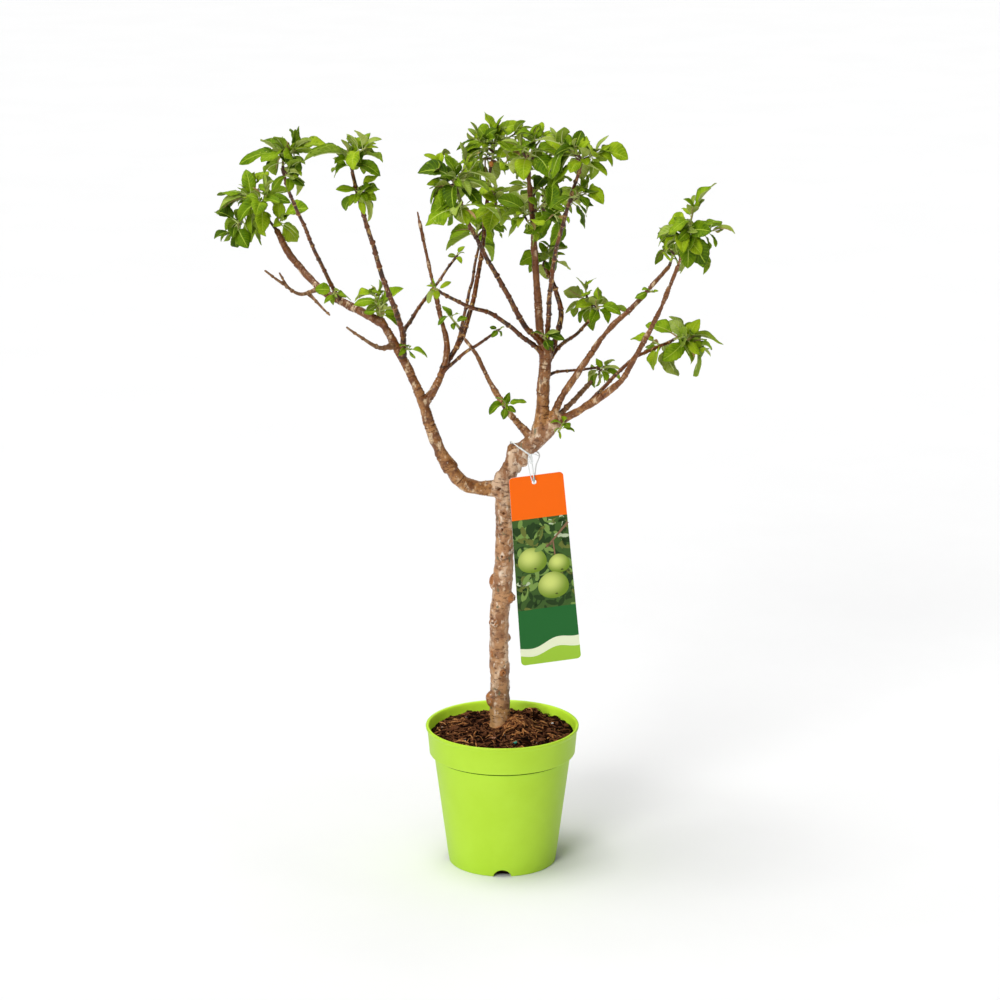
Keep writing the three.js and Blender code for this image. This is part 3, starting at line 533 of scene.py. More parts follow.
@dataclass(frozen=True)
class Coat:
    """One effect laid over a finish."""

    scale: float  # of its features, in a metre
    low: float = 0.42
    high: float = 0.62
    colour: str = ""  # laid on where the effect shows
    amount: float = 1.0  # how strongly
    relief: float = 0.0  # millimetres that it stands out
    rougher: float = 0.0  # added to the roughness
    stretch: Point = (1.0, 1.0, 1.0)
    effect: Effect = MOTTLE


@dataclass(frozen=True)
class Finish:
    """A surface: its ground colour and gloss, and the effects laid over it in turn."""

    name: str
    colour: str
    roughness: float
    coats: tuple[Coat, ...] = ()
    sockets: tuple[tuple[str, object], ...] = ()

    def material(self) -> bpy.types.Material:
        """Finds or builds the material.

        Returns:
            A material with one Principled shader.
        """
        found = bpy.data.materials.get(self.name)
        if found:
            return found
        material = bpy.data.materials.new(self.name)
        material.use_nodes = True
        wires = Wiring(material.node_tree)
        shader = material.node_tree.nodes["Principled BSDF"]
        shader.inputs["Base Color"].default_value = linear(self.colour)
        shader.inputs["Roughness"].default_value = self.roughness
        for name, value in self.sockets:
            shader.inputs[name].default_value = value
        where = wires.add("ShaderNodeTexCoord").outputs
        colour, rough, normal = linear(self.colour), self.roughness, None
        for coat in self.coats:
            flat = coat.effect in (VEINS_AND_EDGE_HIGHLIGHT, BALL)
            mask = wires.add("ShaderNodeGroup", {"node_tree": EffectGroups.get(coat.effect)},
                             Vector=where["UV" if flat else "Object"], Scale=coat.scale, Stretch=coat.stretch,
                             Low=coat.low, High=coat.high, Amount=coat.amount).outputs["Mask"]
            if coat.colour:
                colour = wires.add("ShaderNodeMix", {"data_type": "RGBA"}, i0=mask, i6=colour,
                                   i7=linear(coat.colour)).outputs[2]
            if coat.rougher:
                rough = wires.sum("MULTIPLY_ADD", mask, coat.rougher, rough)
            if coat.relief:
                bump = wires.add("ShaderNodeBump", Height=mask, Distance=coat.relief * MM, Strength=1.0)
                if normal is not None:
                    wires.tree.links.new(normal, bump.inputs["Normal"])
                normal = bump.outputs[0]
        for name, socket in (("Base Color", colour), ("Roughness", rough), ("Normal", normal)):
            if isinstance(socket, Socket):
                wires.tree.links.new(socket, shader.inputs[name])
        return material


DULL = (("Specular IOR Level", 0.12),)
MATT = (("Specular IOR Level", 0.04),)
DOWNY = (("Specular IOR Level", 0.08), ("Sheen Weight", 0.04), ("Sheen Roughness", 0.6))
LEAFY = (("Specular IOR Level", 0.11),)

POT_PLASTIC = Finish("lime_pot", "#b5de2e", 0.45, (
    Coat(14, 0.35, 0.7, "#bde63c", 0.6, rougher=0.06),
    Coat(2600, 0.3, 0.7, relief=0.03),
    Coat(900, 0.04, 0.1, "#9ccb26", 0.35, effect=FLECKS),
), (("Specular IOR Level", 0.35),))
# Painted light: the inside wall takes a lighter green than the outside and a faint glow of its own.
PAINTED_GLOW = (("Emission Color", linear("#a4d820")), ("Emission Strength", 0.16))
POT_INSIDE_PAINTED_LIGHT = Finish("pot_inside_painted_light", "#cbf53a", 0.5, POT_PLASTIC.coats[1:], PAINTED_GLOW)
# Painted shade: a darker green on the faces of the groove under the band, where shade falls.
CREASE_SHADE = Finish("pot_crease_shade", "#466f0e", 0.6, (Coat(60, 0.35, 0.65, "#3a5e0a", 0.6),), DULL)
# The bed's very dark ground with paler raised lumps: dark peat, darkened further as painted shade in the low
# places and gaps between fibres and crumbs.
SOIL_DARK = Finish("soil_dark", "#120805", 0.95, (
    Coat(130, 0.42, 0.7, "#40200f", 0.65, relief=0.5),
    Coat(700, 0.4, 0.6, "#0c0402", 0.85, relief=0.25),
), MATT)
FIBRE_BROWN = Finish("fibre_brown", "#5c361f", 0.9, (Coat(400, colour="#7d5132", amount=0.7),), DULL)
FIBRE_DARK = Finish("fibre_dark", "#28120a", 0.9, (Coat(400, colour="#40210f", amount=0.7),), MATT)
FIBRE_TAN = Finish("fibre_tan", "#a4683a", 0.85, (Coat(300, colour="#d0985e", amount=0.8),), DULL)
PERLITE = Finish("perlite", "#f4f1ea", 0.9, (Coat(1500, colour="#cfc8bd", amount=0.5, relief=0.1),))
CHIP = Finish("chip", "#c48f72", 0.85, (Coat(900, colour="#8e6650", amount=0.6, relief=0.08),), DULL)
GRANULE = Finish("granule", "#2f9582", 0.6, (Coat(900, colour="#2c6f63", amount=0.5),))

# The second and fourth coats lay pale silvery streaks: partly the bark's own silvery skin, partly painted
# sheen highlights.
BARK_COATS = (
    Coat(48, 0.42, 0.6, "#8c5d3b", 0.8),
    Coat(62, 0.5, 0.64, "#dfbf9e", 0.8, stretch=(1, 1, 0.5)),
    Coat(130, 0.52, 0.66, "#56341c", 0.75, relief=-0.3, stretch=(1, 1, 2.4)),
    Coat(150, 0.55, 0.68, "#f3e0c8", 0.75, relief=0.15, rougher=-0.12, stretch=(1, 1, 0.6)),
    Coat(900, 0.35, 0.65, relief=0.05, rougher=0.08),
)
GLOSSY = (("Specular IOR Level", 0.4),)
COLLAR = Coat(60, 0.49, 0.53, "#84542e", 0.75, effect=RISE)
OLD_BARK = Finish("old_bark", "#be8d60", 0.42, (COLLAR, *BARK_COATS), GLOSSY)
LICHEN_BARK = Finish("lichen_bark", "#9a8564", 0.8, (
    *BARK_COATS[:3],
    Coat(170, 0.4, 0.5, "#6f6f58", 0.8),
), DULL)
FOOT_BARK = Finish("foot_bark", "#c4935f", 0.6, (
    *BARK_COATS[1:],
    Coat(60, 0.196, 0.182, "#d2a06a", 0.6, effect=RISE),
), DULL)
KNOB_BARK = Finish("knob_bark", "#a96c38", 0.4, BARK_COATS[2:], GLOSSY)
SCAR_BARK = Finish("scar_bark", "#5c371e", 0.7, BARK_COATS[4:], DULL)
# Pale patches: partly the bark's own silvery skin, partly painted sheen highlights.
SILVER_BARK_AND_SHEEN = Finish("silver_bark_and_sheen", "#d2b08c", 0.38, (COLLAR, *BARK_COATS[2:]), GLOSSY)
BOUGH_BARK = Finish("bough_bark", "#ac7843", 0.38, (
    Coat(60, 0.59, 0.7, "#74421a", 0.8, effect=RISE),
    Coat(70, 0.42, 0.6, "#6a3812", 0.85),
    Coat(120, 0.54, 0.68, "#ecd0a8", 0.75, stretch=(1, 1, 0.5)),
    Coat(300, 0.5, 0.68, "#4f2f1a", 0.75, relief=-0.2),
    Coat(210, 0.05, 0.2, "#f0dcc0", 0.8, relief=0.12, effect=FLECKS),
    Coat(1100, 0.35, 0.65, relief=0.04),
), GLOSSY)
RING_BARK = Finish("ring_bark", "#55321b", 0.55, (Coat(300, 0.4, 0.6, "#7b5233", 0.7, relief=0.1),), DULL)
BARK_FINISHES = [OLD_BARK, LICHEN_BARK, FOOT_BARK, KNOB_BARK, SCAR_BARK, BOUGH_BARK, RING_BARK, SILVER_BARK_AND_SHEEN]
YOUNG_BARK = Finish("twig_bark", "#6a3608", 0.32, (
    Coat(90, 0.42, 0.6, "#2a1001", 0.85),
    Coat(200, 0.54, 0.68, "#c29a54", 0.75, stretch=(1, 1, 0.35)),
    Coat(260, 0.06, 0.24, "#ecd6b2", 0.9, relief=0.1, effect=FLECKS),
    Coat(1200, 0.35, 0.65, relief=0.03),
), GLOSSY)
DRY_BARK = Finish("dry_bark", "#8a6648", 0.7, (
    Coat(160, 0.4, 0.62, "#5a3d28", 0.75),
    Coat(300, 0.5, 0.68, "#b3946f", 0.7, relief=-0.12, stretch=(1, 1, 0.4)),
), DULL)
NODE_BARK = Finish("node_bark", "#986c3e", 0.5, (Coat(500, colour="#c79e6a", amount=0.8, relief=0.08),), DULL)

# for each side of the leaves: its ground, its veins, paler patches and pale margin (the margin partly a
# painted edge highlight), and its darker patches
TOP_COLOURS = {
    "leaf_bright": ("#92ae0e", "#b6ca30", "#6e9008"),
    "leaf_fresh": ("#7a9a08", "#9fbb20", "#547804"),
    "leaf_mid": ("#628204", "#88a614", "#3e6202"),
    "leaf_deep": ("#486402", "#70900e", "#2c4a01"),
    "leaf_silver": ("#9aae44", "#bdca80", "#7a9626"),
    "leaf_blush": ("#b8905a", "#d8b088", "#8f9440"),
}
UNDER_COLOURS = {"under_pale": ("#98a83c", "#bac674"), "under_green": ("#769412", "#a3b842")}
TOPS = [Finish(name, ground, 0.5, (
    Coat(60, 0.45, 0.66, light, 0.35),
    Coat(75, 0.45, 0.62, deep, 0.75),
    Coat(8, 0.03, 0.15, light, 0.5, relief=-0.45, rougher=0.05, effect=VEINS_AND_EDGE_HIGHLIGHT),
    Coat(900, 0.35, 0.65, relief=0.07, rougher=0.1),
), LEAFY) for name, (ground, light, deep) in TOP_COLOURS.items()]
UNDERS = [Finish(name, ground, 0.7, (
    Coat(90, 0.4, 0.65, light, 0.5),
    Coat(8, 0.03, 0.14, light, 0.6, relief=0.3, effect=VEINS_AND_EDGE_HIGHLIGHT),
), DOWNY) for name, (ground, light) in UNDER_COLOURS.items()]
LEAF_RIB = Finish("leaf_rib", "#a9be3c", 0.5, (Coat(500, colour="#96b42a", amount=0.6),), LEAFY)
BLADE_FINISHES = [*TOPS, *UNDERS, LEAF_RIB]
UNDER_SLOT, RIB_SLOT = len(TOPS), len(TOPS) + len(UNDERS)
STALK_GREEN = Finish("stalk_green", "#c4d080", 0.6, (Coat(600, colour="#b4c470", amount=0.7),), DOWNY)
STALK_RED = Finish("stalk_red", "#a98a5c", 0.6, (Coat(500, colour="#bfb277", amount=0.7),), DOWNY)
SHOOT_WOOD = Finish("shoot_wood", "#5b3a28", 0.6, (
    Coat(400, 0.4, 0.65, "#3e2519", 0.7, relief=0.15),
    Coat(500, 0.05, 0.2, "#b99a76", 0.6, effect=FLECKS),
))
SHOOT_GREEN = Finish("shoot_green", "#9a9c4a", 0.65, (Coat(350, colour="#b8bd86", amount=0.7),), DOWNY)
BUD_ORANGE = Finish("bud_orange", "#c4702c", 0.6, (Coat(700, colour="#e09a4a", amount=0.6, relief=0.1),))

CARD_COATS = (Coat(1100, 0.4, 0.6, relief=0.008, rougher=0.05),)
CARD_GLOSS = (("Specular IOR Level", 0.12), ("Coat Weight", 0.03))
CARD_COLOURS = {
    "card_edge": "#f1f1ea", "card_orange": "#ff6c05", "card_green": "#25692f", "card_cream": "#edf3cf",
    "card_lime": "#a1cb3c", "print_dark": "#27401a", "print_mid": "#41602a", "print_light": "#7c9a4c",
    "print_pale": "#bccaa6", "print_olive": "#6b7434", "print_twig": "#8a6a50", "print_eye": "#4a5222",
}
CARD_FINISHES = [Finish(name, colour, 0.35, CARD_COATS, CARD_GLOSS) for name, colour in CARD_COLOURS.items()]
CARD_FINISHES.append(Finish("print_fruit", "#738f28", 0.35, (
    Coat(1, 0.05, 0.62, "#d3df7a", 1.0, effect=BALL),
    Coat(900, 0.04, 0.14, "#dfe8a4", 0.4, effect=FLECKS),
), CARD_GLOSS))
CARD_SLOT = {finish.name: i for i, finish in enumerate(CARD_FINISHES)}
ELASTIC = Finish("elastic", "#eef0ee", 0.55, (Coat(900, 0.4, 0.6, "#d3d8d8", 0.6, relief=0.06),))
FERRULE = Finish("ferrule", "#9ba6a4", 0.4, (Coat(500, 0.4, 0.6, "#c3cbc9", 0.6),), (("Metallic", 0.3),))
FLOOR = Finish("pale_floor", "#f4f4f4", 0.9, (Coat(3, 0.3, 0.7, "#f7f7f7", 0.5),))


# Trunk and limbs


@dataclass(frozen=True)
class LimbRow:
    """A limb through its points, from the middle of an earlier one at a height, or else from its tip."""

    name: str
    parent: str
    root: float
    end: float
    via: tuple[Point, ...]
    tip: Point
    at: float | None = None
    forks: tuple = ()


@dataclass(frozen=True)
class MassRow:
    """A mass of leaves: its stem, reach and twigs. A lead is a leading leaf of a numbered twig."""

    name: str
    limb: str
    stem: Point
    reach: float
    leaves: int
    leaf: float
    twigs: int
    seed: int
    at: float | None = None
    spurs: tuple = ()
    lead: tuple = ()


LIMBS = tuple(LimbRow(*row) for row in (
    ("bough_left_low", "trunk", 9.4, 8.6, ((-18, -3, 505), (-42, -8, 509), (-57, -11, 520)),
        (-65, -14, 533), 502),
    ("bough_left_rise", "bough_left_low", 8.4, 5, ((-79, -18, 558), (-92, -24, 593), (-101, -27, 625),
        (-122, -23, 672)), (-151, -10, 722)),
    ("limb_far_left", "bough_left_rise", 5.4, 4, ((-187, 10, 737), (-226, 34, 753), (-252, 55, 774),
        (-275, 76, 798)), (-289, 90, 821)),
    ("twig_far_left_up", "limb_far_left", 2.8, 2, ((-218, 2, 775), (-232, -26, 813), (-246, -60, 857),
        (-259, -90, 896)), (-266, -112, 930), 744),
    ("twig_far_left_dead", "limb_far_left", 2.8, 1.3, ((-257, 24, 753), (-276, 8, 768)),
        (-299, -8, 789), 757, (((-272, 11, 764), (-281, -4, 786), 1.8, 1.1),
        ((-246, 34, 751), (-219, 12, 727), 2.2, 1.2))),
    ("stub_left_dry", "bough_left_rise", 3.4, 1.3, ((-156, -34, 696), (-176, -46, 711)),
        (-195, -54, 727), 695),
    ("limb_left_inner", "bough_left_rise", 4, 2.2, ((-125, -40, 717), (-143, -72, 778),
        (-160, -108, 845), (-173, -140, 902)), (-180, -158, 939), 680),
    ("twig_left_inner_side", "limb_left_inner", 2.6, 1.6, ((-106, 0, 739), (-88, 26, 759)),
        (-62, 58, 790), 717),
    ("limb_left_centre", "bough_left_rise", 5.2, 2, ((-83, -22, 645), (-70, -8, 687), (-79, 10, 730),
        (-92, 32, 783)), (-108, 60, 851), 620),
    ("whip_left_back", "limb_left_centre", 3.5, 2.3, ((-52, 12, 698), (-36, 42, 746), (-26, 72, 800),
        (-21, 98, 850)), (-16, 118, 893), 664),
    ("twig_left_back_side", "whip_left_back", 2.4, 1.7, ((-48, 62, 722), (-38, 112, 758)),
        (-31, 148, 791), 690),
    ("twig_left_low_side", "limb_left_centre", 2.4, 1.6, ((-48, -33, 688), (-24, -48, 707)),
        (-9, -56, 720), 659),
    ("twig_middle", "trunk", 5, 1.8, ((12, 24, 594), (-4, 44, 613), (-21, 68, 638), (-34, 87, 661)),
        (-54, 104, 684), 566),
    ("leader", "trunk", 9.2, 7.8, ((51, 0, 606), (52, 2, 632)), (55, 2, 682), 572),
    ("whip_centre", "leader", 5.6, 3, ((49, 2, 702), (45, 5, 748), (41, 10, 800), (37, 14, 860)),
        (32, 18, 913)),
    ("whip_right_tall", "leader", 3.6, 2.1, ((57, -14, 720), (60, -42, 778), (70, -78, 845)),
        (94, -130, 940), 680),
    ("whip_right_bent", "leader", 4.2, 2.8, ((66, 14, 690), (75, 34, 722), (68, 46, 752)),
        (54, 58, 782), 672),
    ("whip_left_low", "leader", 3.4, 2.1, ((36, -12, 697), (-12, -55, 742), (-40, -80, 756)),
        (-74, -114, 781), 678),
    ("whip_left_high", "whip_centre", 4, 2, ((28, -12, 720), (4, -36, 768), (-24, -62, 824),
        (-44, -84, 868)), (-55, -98, 904), 694),
    ("twig_right_back", "leader", 2.8, 1.9, ((74, 22, 686), (96, 54, 696)), (122, 93, 713), 662),
    ("twig_right_mid", "leader", 2.1, 1.6, ((78, 24, 653),), (122, 56, 649), 650),
    ("limb_right_inner", "trunk", 5.2, 2.5, ((74, -3, 622), (99, 4, 659), (134, 20, 706),
        (172, 39, 739)), (212, 62, 780), 586),
    ("limb_right_outer", "trunk", 5.4, 2.3, ((99, -12, 610), (146, -28, 648), (166, -38, 683),
        (196, -56, 748)), (223, -78, 826), 588),
    ("twig_right_outer_side", "limb_right_outer", 2.7, 1.9, ((134, 2, 642), (166, 20, 669),
        (184, 32, 676)), (216, 50, 686), 616),
    ("stub_right_cut", "trunk", 3.6, 2.9, ((92, 18, 616),), (115, 46, 635), 592)))

MASSES = (
    MassRow("leaves_far_left", "limb_far_left", (-36, 4, 44), 96, 4, 42, 2, 11,
        spurs=((0.35, -7, -12, 26), (0.1, 12, -18, 11), (0.75, -30, -14, -34), (0.8, 1, 26, 19)),
        lead=((0, -40, 10, 2), (0, -40, -18, -12), (0, -2, 12, 32), (1, 27, -14, 0), (2, 34, -20, 20),
        (3, -22, -6, -7), (3, 6, 4, -22), (4, 14, 20, 16))),
    MassRow("leaves_left_top", "twig_far_left_up", (0, 2, 22), 72, 4, 40, 1, 12,
        spurs=((0.8, 10, 8, 3), (0.05, 10, -6, -7)), lead=((0, -53, -6, -3), (0, -28, 14, 16),
        (1, 39, 14, 14), (0, 6, -26, -8), (2, 16, -8, -10), (2, -24, -8, -13))),
    MassRow("leaves_left_inner_top", "limb_left_inner", (-4, 0, 17), 62, 4, 38, 1, 13,
        spurs=((0.7, 12, 8, 5),), lead=((0, -52, -20, 6), (0, 24, 6, 28), (0, -20, -10, 15), (1, 28, 6, -8),
        (0, -15, -20, -6), (1, 2, -26, -4))),
    MassRow("leaves_left_inner_low", "limb_left_inner", (4, -12, 9), 60, 3, 32, 0, 39, at=906,
        lead=((0, 21, 8, 19), (0, 22, -10, 2), (0, -29, -8, 2))),
    MassRow("leaves_left_spur", "bough_left_rise", (-2, -6, 21), 44, 3, 30, 1, 14,
        lead=((0, -30, -4, 7), (0, 31, -6, 21))),
    MassRow("leaves_left_fork", "limb_left_inner", (8, -16, 4), 34, 3, 22, 0, 15, at=692,
        lead=((0, 24, -4, -8), (0, -10, -10, 6))),
    MassRow("leaves_far_left_low", "twig_far_left_up", (2, -16, -4), 36, 3, 24, 0, 16, at=762,
        lead=((0, 20, -6, -4), (0, -14, -8, -8))),
    MassRow("leaves_left_tuft", "whip_left_low", (-8, -6, 8), 30, 5, 20, 0, 17),
    MassRow("leaves_whip_spur", "whip_left_back", (-18, -12, 26), 34, 2, 18, 0, 18, at=704,
        lead=((0, -14, -10, -10), (0, 14, -6, 4), (0, -6, -2, 12))),
    MassRow("leaves_crown_left", "whip_left_high", (-4, -4, 14), 76, 4, 42, 2, 19,
        spurs=((0.3, 8, -22, -24), (0.5, -11, 14, -2), (0.8, 16, 12, 19)), lead=((0, -41, 4, 15),
        (0, -6, -6, 29), (1, -47, -8, -13), (1, 49, 6, -7), (2, -23, 8, 0), (2, -14, -10, -18))),
    MassRow("leaves_crown_top", "whip_left_back", (8, 0, 45), 74, 4, 42, 2, 20,
        spurs=((0.3, 21, -22, -2), (0.35, -18, 14, -2), (0.8, -11, -14, 4)),
        lead=((0, -12, 8, 32), (0, 9, -8, 27), (0, 32, 10, 18), (0, 24, -26, -13), (3, -11, 8, 18),
        (2, -18, -24, -19))),
    MassRow("leaves_crown_centre", "whip_centre", (9, -6, 38), 66, 4, 42, 1, 21,
        spurs=((0.4, -12, 10, -5), (0.3, 20, 16, -2)), lead=((0, -22, -10, 10), (0, 51, 6, -15),
        (0, 4, 12, 16), (1, 3, -24, -18), (2, 5, -16, -16))),
    MassRow("leaves_crown_right", "whip_right_tall", (3, 0, 10), 68, 4, 42, 1, 22,
        spurs=((0.6, 21, 6, 9), (0.2, -10, 12, 11)), lead=((1, 34, -6, 0), (1, 16, -14, -14), (0, 6, 8, 24),
        (2, -32, -10, -25), (2, -23, 4, 18))),
    MassRow("leaves_crown_right_low", "whip_right_tall", (12, -10, 14), 60, 4, 36, 1, 40, at=890,
        lead=((0, 26, 8, 4), (0, 14, -12, -10), (0, -38, -14, -12))),
    MassRow("leaves_crown_mid", "whip_centre", (15, -14, 15), 58, 4, 42, 1, 23, at=858,
        spurs=((0.2, -14, -26, -2),), lead=((0, 24, -12, -3), (0, 23, 6, -25), (0, 1, -14, -36),
        (1, -14, -10, -13))),
    MassRow("leaves_crown_low", "twig_left_back_side", (-3, 4, 19), 62, 4, 40, 1, 24,
        lead=((0, -38, -16, -24), (0, 13, 8, 15))),
    MassRow("leaves_crown_inner", "whip_left_back", (22, -30, 0), 56, 4, 38, 1, 25, at=856,
        lead=((0, -39, -16, -9), (0, 0, -16, 22))),
    MassRow("leaves_crown_back", "whip_centre", (14, 58, 14), 56, 4, 48, 3, 26, at=874),
    MassRow("leaves_bent_whip", "whip_right_bent", (2, 4, 10), 50, 4, 32, 1, 27,
        lead=((0, -34, 8, -10), (0, 34, 4, -15), (0, -7, -4, 18))),
    MassRow("leaves_leader", "whip_centre", (4, -20, 8), 38, 3, 22, 0, 28, at=699,
        lead=((0, -18, -4, 6), (0, 16, -8, 12), (0, 24, -2, -1), (0, 10, -8, -16))),
    MassRow("leaves_right_top", "limb_right_outer", (11, -2, 51), 74, 3, 42, 1, 29,
        spurs=((0.45, -2, -12, 3),), lead=((0, 24, 4, 35), (0, -9, -8, 15), (1, 40, 8, 14), (1, -37, -4, -6),
        (1, -15, 10, 17), (1, 1, -12, -20))),
    MassRow("leaves_right_upper", "limb_right_inner", (8, 8, 21), 60, 4, 42, 1, 30,
        lead=((0, -17, 14, 28), (0, 18, 12, 11))),
    MassRow("leaves_right_low", "twig_right_outer_side", (16, 6, 7), 76, 3, 46, 1, 31,
        spurs=((0.05, -20, 16, -11),), lead=((0, 51, -4, -11), (0, 22, -18, -16), (0, 8, -10, -36),
        (0, -20, -4, 24), (0, -47, 18, 16), (1, -6, -4, -31), (1, -33, 10, 11))),
    MassRow("leaves_right_back", "twig_right_back", (0, 2, 10), 52, 4, 40, 1, 32,
        lead=((0, -29, -4, 0), (0, 43, 4, -6), (0, 16, -14, -18))),
    MassRow("leaves_right_mid", "twig_right_mid", (6, 2, -5), 36, 3, 26, 0, 33,
        lead=((0, 23, -4, -7), (0, -7, 6, 17))),
    MassRow("leaves_middle", "twig_middle", (2, -18, 6), 38, 3, 24, 0, 34, at=604,
        lead=((0, 26, -4, 6), (0, -12, -6, 14), (0, 12, -10, -6), (0, -22, -4, -8))),
    MassRow("leaves_under_fork", "limb_right_outer", (-10, -14, -14), 30, 3, 20, 0, 35, at=600,
        lead=((0, 18, -4, 2),)),
    MassRow("leaves_right_bud", "limb_right_inner", (6, -14, 2), 28, 3, 20, 0, 36, at=752),
    MassRow("leaves_low_side_bud", "twig_left_low_side", (5, -3, 4), 22, 3, 13, 0, 37),
    MassRow("leaves_inner_side_bud", "twig_left_inner_side", (5, 3, 6), 22, 3, 13, 0, 38,
        lead=((0, 8, 2, 10),)))

THICK_LIMB = 4.5  # limbs with a thicker root than this are old wood
DRY_LIMBS = ("twig_far_left_dead", "stub_left_dry", "stub_right_cut")


@dataclass
class Spine:
    """The middle line of a limb, and its radius along it."""

    points: Array  # as the solids have it
    fine: Array
    root: float
    end: float
    power: int = 1

    def radius(self, share: Array | float) -> Array | float:
        """Returns the radius at a share of the length."""
        return self.root + (self.end - self.root) * share**self.power

    def at_height(self, z: float) -> tuple[Array, float]:
        """Finds the line's point at a height.

        Args:
            z: the height.

        Returns:
            The point and its share of the length.
        """
        line = self.points
        i = next(k for k in range(1, len(line)) if line[k][2] >= z > line[k - 1][2])
        share = (z - line[i - 1][2]) / (line[i][2] - line[i - 1][2])
        return line[i - 1] + (line[i] - line[i - 1]) * share, (i - 1 + share) / (len(line) - 1)


@dataclass
class Skeleton:
    """The middle lines of the trunk and all limbs."""

    foot: Point = (-3, 10, 168)
    via: tuple[Point, ...] = ((-3, 9, 235), (-4, 7, 325), (0, 5, 368), (3, 3, 425), (3, 1, 470), (3, 0, 502),
                              (10, -1, 530), (25, 0, 553), (45, 0, 569))
    tip: Point = (68, 0, 596)
    root: float = 12.6
    end: float = 10.6
    fineness: int = 12  # points of a fine line for each shaping point
    spines: dict[str, Spine] = field(default_factory=dict)

    def __post_init__(self) -> None:
        """Works out every line, each limb from an earlier one."""
        self.draw("trunk", [self.foot, *self.via, self.tip], self.root, self.end, 2)
        for row in LIMBS:
            parent = self.spines[row.parent]
            start = parent.points[-1] if row.at is None else parent.at_height(row.at)[0]
            self.draw(row.name, [start, *row.via, row.tip], row.root, row.end)
        segments = []
        for number, spine in enumerate(self.spines.values()):
            run = 97.0 * number
            for i, (a, b) in enumerate(zip(spine.points, spine.points[1:]), 1):
                segments.append((a, b, spine.radius(i / (len(spine.points) - 1)), run))
                run += np.linalg.norm(b - a)
        self.starts, self.ends, self.radii, self.runs = (np.array(column) for column in zip(*segments))

    def draw(self, name: str, points: list, root: float, end: float, power: int = 1) -> None:
        """Adds one limb.

        Args:
            name: its name.
            points: its shaping points.
            root: its radius at the root.
            end: its radius at the tip.
            power: how late it grows thin.
        """
        rough = np.array(points, float)
        count = len(rough) - 1
        coarse, fine = (smooth_curve(rough, count * steps) for steps in (2, self.fineness))
        self.spines[name] = Spine(coarse, fine, root, end, power)

    def nearest(self, points: Array) -> tuple[Array, Array]:
        """Finds the limb nearest to each place.

        Args:
            points: the places.

        Returns:
            How far each lies out of the limb's bark, and how far along the limb.
        """
        along = self.ends - self.starts
        away = points[:, None] - self.starts
        share = np.clip(np.sum(away * along, axis=2) / np.sum(along * along, axis=1), 0, 1)
        gap = np.linalg.norm(away - share[..., None] * along, axis=2) - self.radii
        which = np.argmin(gap, axis=1)
        rows = np.arange(len(points))
        run = self.runs[which] + share[rows, which] * np.linalg.norm(along, axis=1)[which]
        return gap[rows, which], run


class Bark(IntEnum):
    """The barks of the old wood, by material slot."""

    STEM, LICHEN, FOOT, KNOB, SCAR, BOUGH, RING, PALE = range(8)


class Mark(Enum):
    """Kinds of mark that lost twigs leave in old bark."""

    EYE, SLIT, WRINKLE, BUD = "eye", "slit", "wrinkle", "bud"


EYE, SLIT, WRINKLE, BUD = Mark


